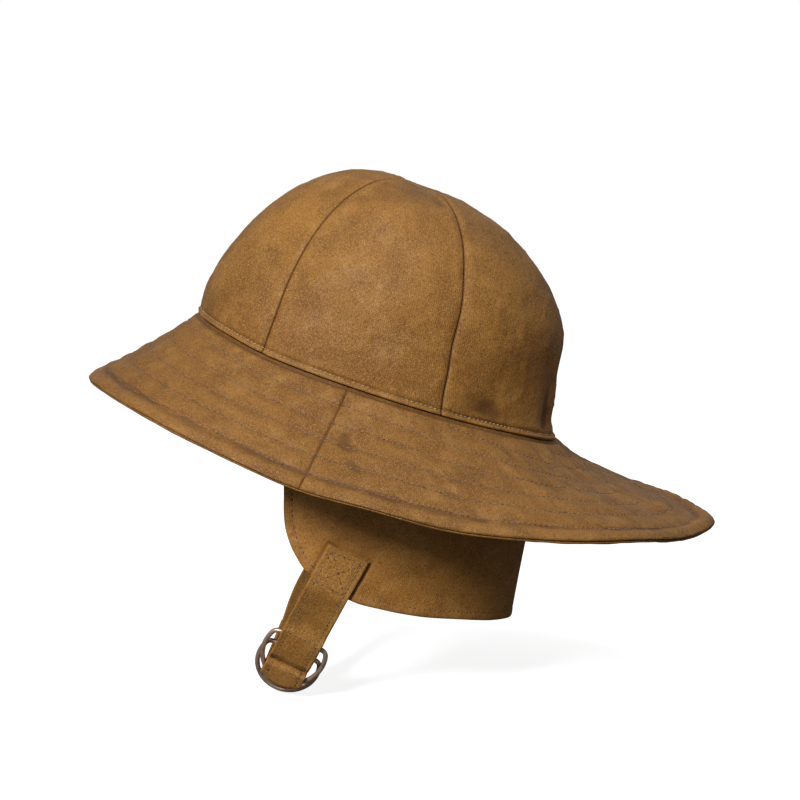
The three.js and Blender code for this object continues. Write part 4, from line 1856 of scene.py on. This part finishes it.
@dataclass
class ChinStrap:
    """A short strap with a pocket for two D-rings, and a long one that comes round through both of them."""

    flap: NeckFlap
    finishes: Finishes
    width: float = STRAP_WIDTH
    wall: float = 1.6
    turn: float = LAP_TURN
    lap: float = 25.5
    start: float = LAP_START
    slant: float = LAP_SLANT
    fall: float = 56.8
    swing_in: float = 29
    swing_forward: float = 7.6
    tail: float = 38
    wire: float = 2.7
    radius: float = 16.9
    reach: float = 21.5
    bar_setback: float = 10.5
    ring_shift: float = 11.8
    ring_spread: float = 2.2
    pocket_depth: float = 20
    seam_inset: float = 3.2
    forward: float = 0.0175
    stitch_lift: float = 0.03
    steps_along: int = 6
    steps_across: int = 3

    # The cloth's relief, in millimetres
    seam_groove: Ridge = Ridge(-0.16, 0, 0.8)
    swells: Lumps = Lumps(0.1, 7, 0)
    puckers: Lumps = Lumps(0.08, 3, 1)
    pucker_band: Ridge = Ridge(1, 2, 2.5)
    edge_ridge: Ridge = Ridge(0.34, 0.5, 0.9)
    down: np.ndarray = field(init=False)
    across: np.ndarray = field(init=False)
    out: np.ndarray = field(init=False)
    fold: np.ndarray = field(init=False)

    def __post_init__(self) -> None:
        """Works out the frame of the strap below the left ear."""
        slopes = (-math.tan(math.radians(self.swing_in)), -math.tan(math.radians(self.swing_forward)), -1)
        self.down = unit(np.array(slopes))
        self.across = unit(np.array((0.0, 1.0, 0.0)) - self.down * self.down[1])
        self.out = np.cross(self.down, self.across)
        self.fold = self.on_flap(np.zeros(1), self.lap, Side.LEFT)[0] + self.down * self.fall

    @property
    def ring_offset(self) -> float:
        """How far each ring is from the middle between them."""
        return (self.wire + 2 * GAP) / 2

    @property
    def pocket_half(self) -> float:
        """Half the thickness of the pocket with its rings."""
        return self.ring_offset + self.wire / 2 + GAP + self.wall / 2

    def on_flap(self, across: np.ndarray, down: float, side: Side) -> np.ndarray:
        """Gives the middle of the strap's cloth where it lies on the flap.

        Args:
            across: Places across the strap, from its centre line.
            down: How far below its end.
            side: The side of the hat.

        Returns:
            The points.
        """
        slant = math.radians(self.slant)
        round_flap = across * math.cos(slant) - down * math.sin(slant)
        height = -self.start - down * math.cos(slant) - across * math.sin(slant)
        here = self.flap.point(np.full_like(across, self.turn), height)
        next_to_it = self.flap.point(np.full_like(across, self.turn + 1), height)
        turn = self.turn + round_flap / np.linalg.norm(next_to_it - here, axis=-1)
        point = self.flap.point(turn, height)
        along = self.flap.point(turn + 1, height) - point
        below = self.flap.point(turn, height - 1) - point
        point = point + unit(np.cross(below, along)) * (GAP + self.wall / 2)
        return point * (side.value, 1, 1)

    def at_fold(self, down: np.ndarray, out: float, across: np.ndarray) -> np.ndarray:
        """Gives points by their distances from the fold at the strap's end."""
        down, across = np.broadcast_arrays(np.asarray(down, float), across)
        return self.fold + down[..., None] * self.down + out * self.out + across[..., None] * self.across

    def ring_strap_grid(self, places: np.ndarray) -> tuple[np.ndarray, int]:
        """Lays out the short strap.

        Args:
            places: Places across the strap.

        Returns:
            Its coarse grid, and the row of its fold.
        """
        middle = -self.pocket_half / 4
        grid = [self.on_flap(places, self.lap * share, Side.LEFT) for share in np.arange(4) / 3]
        pocket = POCKET_FRONT["along"][0] * self.pocket_depth
        for share in (0.25, 0.6):
            grid.append(self.at_fold(-(self.fall + (pocket - self.fall) * share), 0, places))
        for row in rows_of(POCKET_FRONT):
            out = (middle + self.pocket_half) * row["out"]
            grid.append(self.at_fold(-row["along"] * self.pocket_depth, out, places))
        fold_row = len(grid) - 1
        for row in rows_of(POCKET_BACK):
            out = middle - self.pocket_half * row["out"]
            grid.append(self.at_fold(-row["along"] * self.pocket_depth, out, places))
        return np.array(grid), fold_row

    def long_strap_grid(self, places: np.ndarray) -> np.ndarray:
        """Lays out the long strap: through both rings, round the front one and back through the other.

        Args:
            places: Places across the strap.

        Returns:
            Its coarse grid.
        """
        bar = -self.pocket_depth
        centre = bar + self.bar_setback
        hug = centre + self.reach * np.sqrt(1 - (places / self.radius) ** 2)
        lowest = centre + self.reach
        slope = self.reach * places / (self.radius * np.sqrt(self.radius**2 - places**2))
        flatness = 1 / np.hypot(1, slope)
        wrap = self.wire / 2 + GAP + self.wall / 2
        wire_out = -self.pocket_half / 4 + self.ring_offset
        wire_out += (lowest - bar) * math.tan(math.radians(self.ring_spread))
        clear = GAP + self.wall / 2
        grid = [self.on_flap(places, self.lap * share, Side.RIGHT) for share in np.arange(4) / 3]
        # Places below the fold and out from it, from the wearer's right into the rings
        entry = (
            (5, -36),
            (3.4, -18),
            (1.9, -9),
            (clear, -3.5),
            (clear, 0),
            (clear + 0.4, wire_out + wrap * 0.75),
        )
        hem = grid[-1]
        ring_side = self.at_fold(entry[0][0], entry[0][1], places)
        for share in (0.2, 0.4, 0.6, 0.8):
            forward = -self.forward * self.flap.opening.length * math.sin(math.pi * share)
            grid.append(hem * (1 - share) + ring_side * share + (0, forward, 0))
        grid += [self.at_fold(down, out, places) for down, out in entry]
        for short in (0.55, 0.2):
            grid.append(self.at_fold(hug - (lowest - clear) * short * hug / lowest, wire_out + wrap, places))
        for angle in np.radians((0, 25, 50, 75, 100, 125, 150)):
            below = hug + wrap * math.sin(angle) / flatness
            grid.append(self.at_fold(below, wire_out + wrap * math.cos(angle), places))
        for row in rows_of(TAIL):
            down = hug * (1 - row["level"]) + lowest * row["level"] - row["rise"]
            grid.append(self.at_fold(down, wire_out - wrap - row["back"] * self.tail, places))
        return np.array(grid)

    def build_strap(
        self, name: str, grid: np.ndarray, seams: list[np.ndarray], seed: int
    ) -> list[Piece]:
        """Makes a strap with stitching on both faces.

        Args:
            name: The node it replaces.
            grid: Its coarse grid.
            seams: Lines of stitches, as places across and along the strap.
            seed: Which unevenness its cloth has.

        Returns:
            The strap and its stitches.
        """
        fine = refined(refined(grid, self.steps_along, 0), self.steps_across, 1)
        along = lengths_along(fine, 0)
        sheet = Surface(fine, along, np.linspace(-self.width / 2, self.width / 2, fine.shape[1]))
        ends = (0.12, 0.35, 0.7, 1.1)
        across = marks(self.width, 0.85, ends) - self.width / 2
        rows = marks(float(along[-1]), 0.9, ends)
        down, place = np.meshgrid(rows, across, indexing="ij")
        points, normals = sheet.at(down, place)
        side = self.width / 2 - np.abs(place)
        end = np.minimum(down, along[-1] - down)
        edge = np.minimum(side, end)
        relief = self.seam_groove.at(side - self.seam_inset) + self.swells.at(points, seed)
        relief += self.puckers.at(points, seed) * self.pucker_band.at(side) + self.edge_ridge.at(edge)
        cloth = Cloth(
            middle=points,
            normals=normals,
            wall=self.wall,
            flat=vectors(place, down),
            edge=edge,
            front_relief=relief,
            back_relief=relief,
        )
        piece = cloth.build(name, self.finishes.strap, Slot.CLOTH)
        front, back = cloth.faces_of_cloth()
        faces = (Surface(front, rows, across), Surface(back, rows, across))
        thread = Thread(pitch=2.7, run=1.9)
        for line in seams:
            for face, direction in zip(faces, (1, -1)):
                spots, out = face.at(line[:, 1], line[:, 0])
                thread.sew(spots, out * direction, self.stitch_lift)
        return [piece, thread.build(f"{name}_stitching", self.finishes.thread, Slot.CLOTH)]

    def line(self, start: tuple[float, float], end: tuple[float, float]) -> np.ndarray:
        """Gives a straight line of places on a strap, each across and along it."""
        return np.linspace(start, end, max(4, round(math.dist(start, end))))

    def lap_seams(self) -> list[np.ndarray]:
        """Gives the box with a cross that holds a strap on the flap.

        Returns:
            Its lines of stitches.
        """
        half = self.width / 2 - self.seam_inset
        top = 3.0
        low = self.lap - 3.5
        return [
            self.line((-half, top), (half, top)),
            self.line((-half, low), (half, low)),
            self.line((-half, top), (half, low)),
            self.line((half, top), (-half, low)),
        ]

    def build(self) -> list[Piece]:
        """Makes both straps.

        Returns:
            The straps and their stitches.
        """
        places = np.linspace(-self.width / 2, self.width / 2, 9)
        grid, fold_row = self.ring_strap_grid(places)
        fold = float(lengths_along(refined(grid, self.steps_along, 0), 0)[fold_row * self.steps_along])
        seams = self.long_seams(fold - 2, fold - 1.2 * self.pocket_depth)
        pieces = self.build_strap("ring_strap", grid, seams, 81)
        grid = self.long_strap_grid(places)
        end = float(lengths_along(refined(grid, self.steps_along, 0), 0)[-1]) - self.seam_inset
        return pieces + self.build_strap("long_strap", grid, self.long_seams(end, end), 91)

    def long_seams(self, end: float, cross: float) -> list[np.ndarray]:
        """Gives all the seams of a strap: those of its lap, one along each edge, and one across.

        Args:
            end: Where the seams along the edges end.
            cross: Where the seam across lies.

        Returns:
            Its lines of stitches.
        """
        half = self.width / 2 - self.seam_inset
        seams = self.lap_seams()
        seams += [self.line((edge, 3), (edge, end)) for edge in (-half, half)]
        seams.append(self.line((-half, cross), (half, cross)))
        return seams


class Ring(Enum):
    """The two D-rings, with the side of the pocket that each lies on and leans to."""

    FRONT = 1
    BACK = -1


@dataclass
class DRings:
    """Two D-rings of round wire, whose bars lie in the short strap's pocket."""

    strap: ChinStrap
    finishes: Finishes
    arc_steps: int = 60
    bar_steps: int = 12
    wire_sides: int = 18

    def wire_line(self, ring: Ring) -> tuple[np.ndarray, np.ndarray]:
        """Gives a ring's centre line and the direction square to it.

        Args:
            ring: Which ring it is.

        Returns:
            The closed line and the direction.
        """
        strap = self.strap
        lean = math.radians(strap.ring_spread * ring.value)
        down = strap.down * math.cos(lean) + np.cross(strap.across, strap.down) * math.sin(-lean)
        shift = strap.ring_shift if ring is Ring.BACK else 0.0
        out = -strap.pocket_half / 4 + strap.ring_offset * ring.value
        middle = strap.at_fold(shift - strap.pocket_depth, out, np.zeros(1))[0]
        start = -math.asin(strap.bar_setback / strap.reach)
        half_bar = strap.radius * math.cos(start)
        angles = np.linspace(start, math.pi - start, self.arc_steps)
        arc = vectors(strap.radius * np.cos(angles), strap.bar_setback + strap.reach * np.sin(angles))
        bar = vectors(np.linspace(-half_bar, half_bar, self.bar_steps + 2)[1:-1], 0.0)
        loop = np.concatenate([arc, bar])
        for _ in range(3):
            loop = (np.roll(loop, 1, axis=0) + 2 * loop + np.roll(loop, -1, axis=0)) / 4
        points = middle + loop[:, :1] * strap.across + loop[:, 1:] * down
        return points, np.cross(down, strap.across)

    def build(self) -> list[Piece]:
        """Makes both rings.

        Returns:
            The rings.
        """
        pieces = []
        for ring in Ring:
            line, square = self.wire_line(ring)
            ahead = unit(np.roll(line, -1, axis=0) - np.roll(line, 1, axis=0))
            side = np.cross(ahead, square)
            angles = np.linspace(0, 2 * math.pi, self.wire_sides, endpoint=False)
            radius = self.strap.wire / 2
            points = line[:, None] + radius * (
                side[:, None] * np.cos(angles)[None, :, None] + square * np.sin(angles)[None, :, None]
            )
            number = np.arange(points.shape[0] * self.wire_sides).reshape(-1, self.wire_sides)
            ahead_number = np.roll(number, -1, axis=0)
            faces = faces_from(
                (number, ahead_number, np.roll(ahead_number, -1, axis=1), np.roll(number, -1, axis=1))
            )
            node = f"d_ring_{ring.name.lower()}"
            bronze = self.finishes.bronze
            piece = new_piece(f"{node}_wire", points.reshape(-1, 3), faces, bronze)
            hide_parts(node)
            pieces.append(piece)
        return pieces


@dataclass
class Studio:
    """Pale floor, soft light and the camera at the photo's angle."""

    azimuth: float = 93
    elevation: float = 6.5
    distance: float = 1.2
    lens: float = 97.37
    aim_right: float = 0.01303
    aim_up: float = -0.01331
    floor_glow: float = 0.82
    floor_half: float = 6
    paper: Colour = (0.8, 0.8, 0.8, 1)
    paper_shade: Colour = (0.76, 0.76, 0.76, 1)
    unseen_paper: Colour = (0.07, 0.07, 0.07, 1)
    sky: float = 0.27

    def camera(self) -> None:
        """Sets up the camera."""
        azimuth = math.radians(self.azimuth)
        elevation = math.radians(self.elevation)
        back = Vector((
            math.sin(azimuth) * math.cos(elevation),
            -math.cos(azimuth) * math.cos(elevation),
            math.sin(elevation),
        ))
        right = Vector((math.cos(azimuth), math.sin(azimuth), 0))
        up = back.cross(right)
        aim = right * self.aim_right + up * self.aim_up
        camera = bpy.data.cameras.new("camera")
        camera.lens = self.lens
        camera.sensor_width = 36
        holder = add_object("camera", camera)
        holder.location = aim + back * self.distance
        holder.rotation_euler = back.to_track_quat("Z", "Y").to_euler()
        bpy.context.scene.camera = holder

    def light(self, name: str, place: tuple[float, float, float], size: float, power: float) -> None:
        """Adds a soft square light that faces the hat.

        Args:
            name: Its name.
            place: Where it is, in metres.
            size: The length of its side, in metres.
            power: Its power in watts.
        """
        lamp = bpy.data.lights.new(name, "AREA")
        lamp.size = size
        lamp.energy = power
        holder = add_object(name, lamp)
        holder.location = place
        holder.rotation_euler = Vector(place).to_track_quat("Z", "Y").to_euler()

    def floor(self, level: float) -> None:
        """Lays the floor.

        Args:
            level: Its height, in metres.
        """
        half = self.floor_half
        corners = [(x * half, y * half, level) for x, y in ((-1, -1), (1, -1), (1, 1), (-1, 1))]
        mesh = bpy.data.meshes.new("floor")
        mesh.from_pydata(corners, [], [(0, 1, 2, 3)])
        material, sheet, surface = new_finish("floor paper")
        where = sheet.add("ShaderNodeTexCoord").outputs["Object"]
        shade = sheet.noise(where, 3.0, 2.0)
        seen = sheet.add("ShaderNodeLightPath").outputs["Is Camera Ray"]
        paper = sheet.mix(shade, self.paper, self.paper_shade)
        sheet.put(surface, "Base Color", sheet.mix(seen, self.unseen_paper, paper))
        sheet.put(surface, "Roughness", 0.9)
        sheet.put(surface, "Emission Color", (1, 1, 1, 1))
        sheet.put(surface, "Emission Strength", sheet.math("MULTIPLY", seen, self.floor_glow))
        mesh.materials.append(material)
        add_object("floor", mesh)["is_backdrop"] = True

    def build(self, level: float) -> None:
        """Sets up the whole studio.

        Args:
            level: The height of the floor, in metres.
        """
        self.floor(level)
        self.light("key", place=(1.25, -0.5, 0.66), size=0.35, power=19)
        self.light("top", place=(0.3, 0.3, 1.3), size=0.8, power=6)
        world = bpy.data.worlds.new("studio")
        world.use_nodes = True
        sheet = ShaderSheet(world.node_tree)
        background = world.node_tree.nodes["Background"]
        seen = sheet.add("ShaderNodeLightPath").outputs["Is Camera Ray"]
        sheet.put(background, "Color", (1, 1, 1, 1))
        sheet.put(background, "Strength", sheet.ramp(seen, 0.0, 1.0, self.sky, 1.0))
        bpy.context.scene.world = world
        bpy.context.scene.view_settings.view_transform = "Standard"
        self.camera()


def main() -> None:
    """Builds the hat's pieces in order, then the studio."""
    logging.basicConfig(level=logging.INFO, format="%(message)s")
    frame_low, frame_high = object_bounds()
    finishes = Finishes()
    opening = HeadOpening()
    crown = Crown(opening, finishes)
    brim = Brim(opening, finishes)
    flap = NeckFlap(opening, crown, finishes)
    strap = ChinStrap(flap, finishes)
    rings = DRings(strap, finishes)
    for assembly in (crown, brim, flap, strap, rings):
        for piece in assembly.build():
            log.info("%s: %d points", piece.name, len(piece.data.vertices))
    Studio().build(frame_low.z - FLOOR_GAP)


if __name__ == "__main__":
    main()
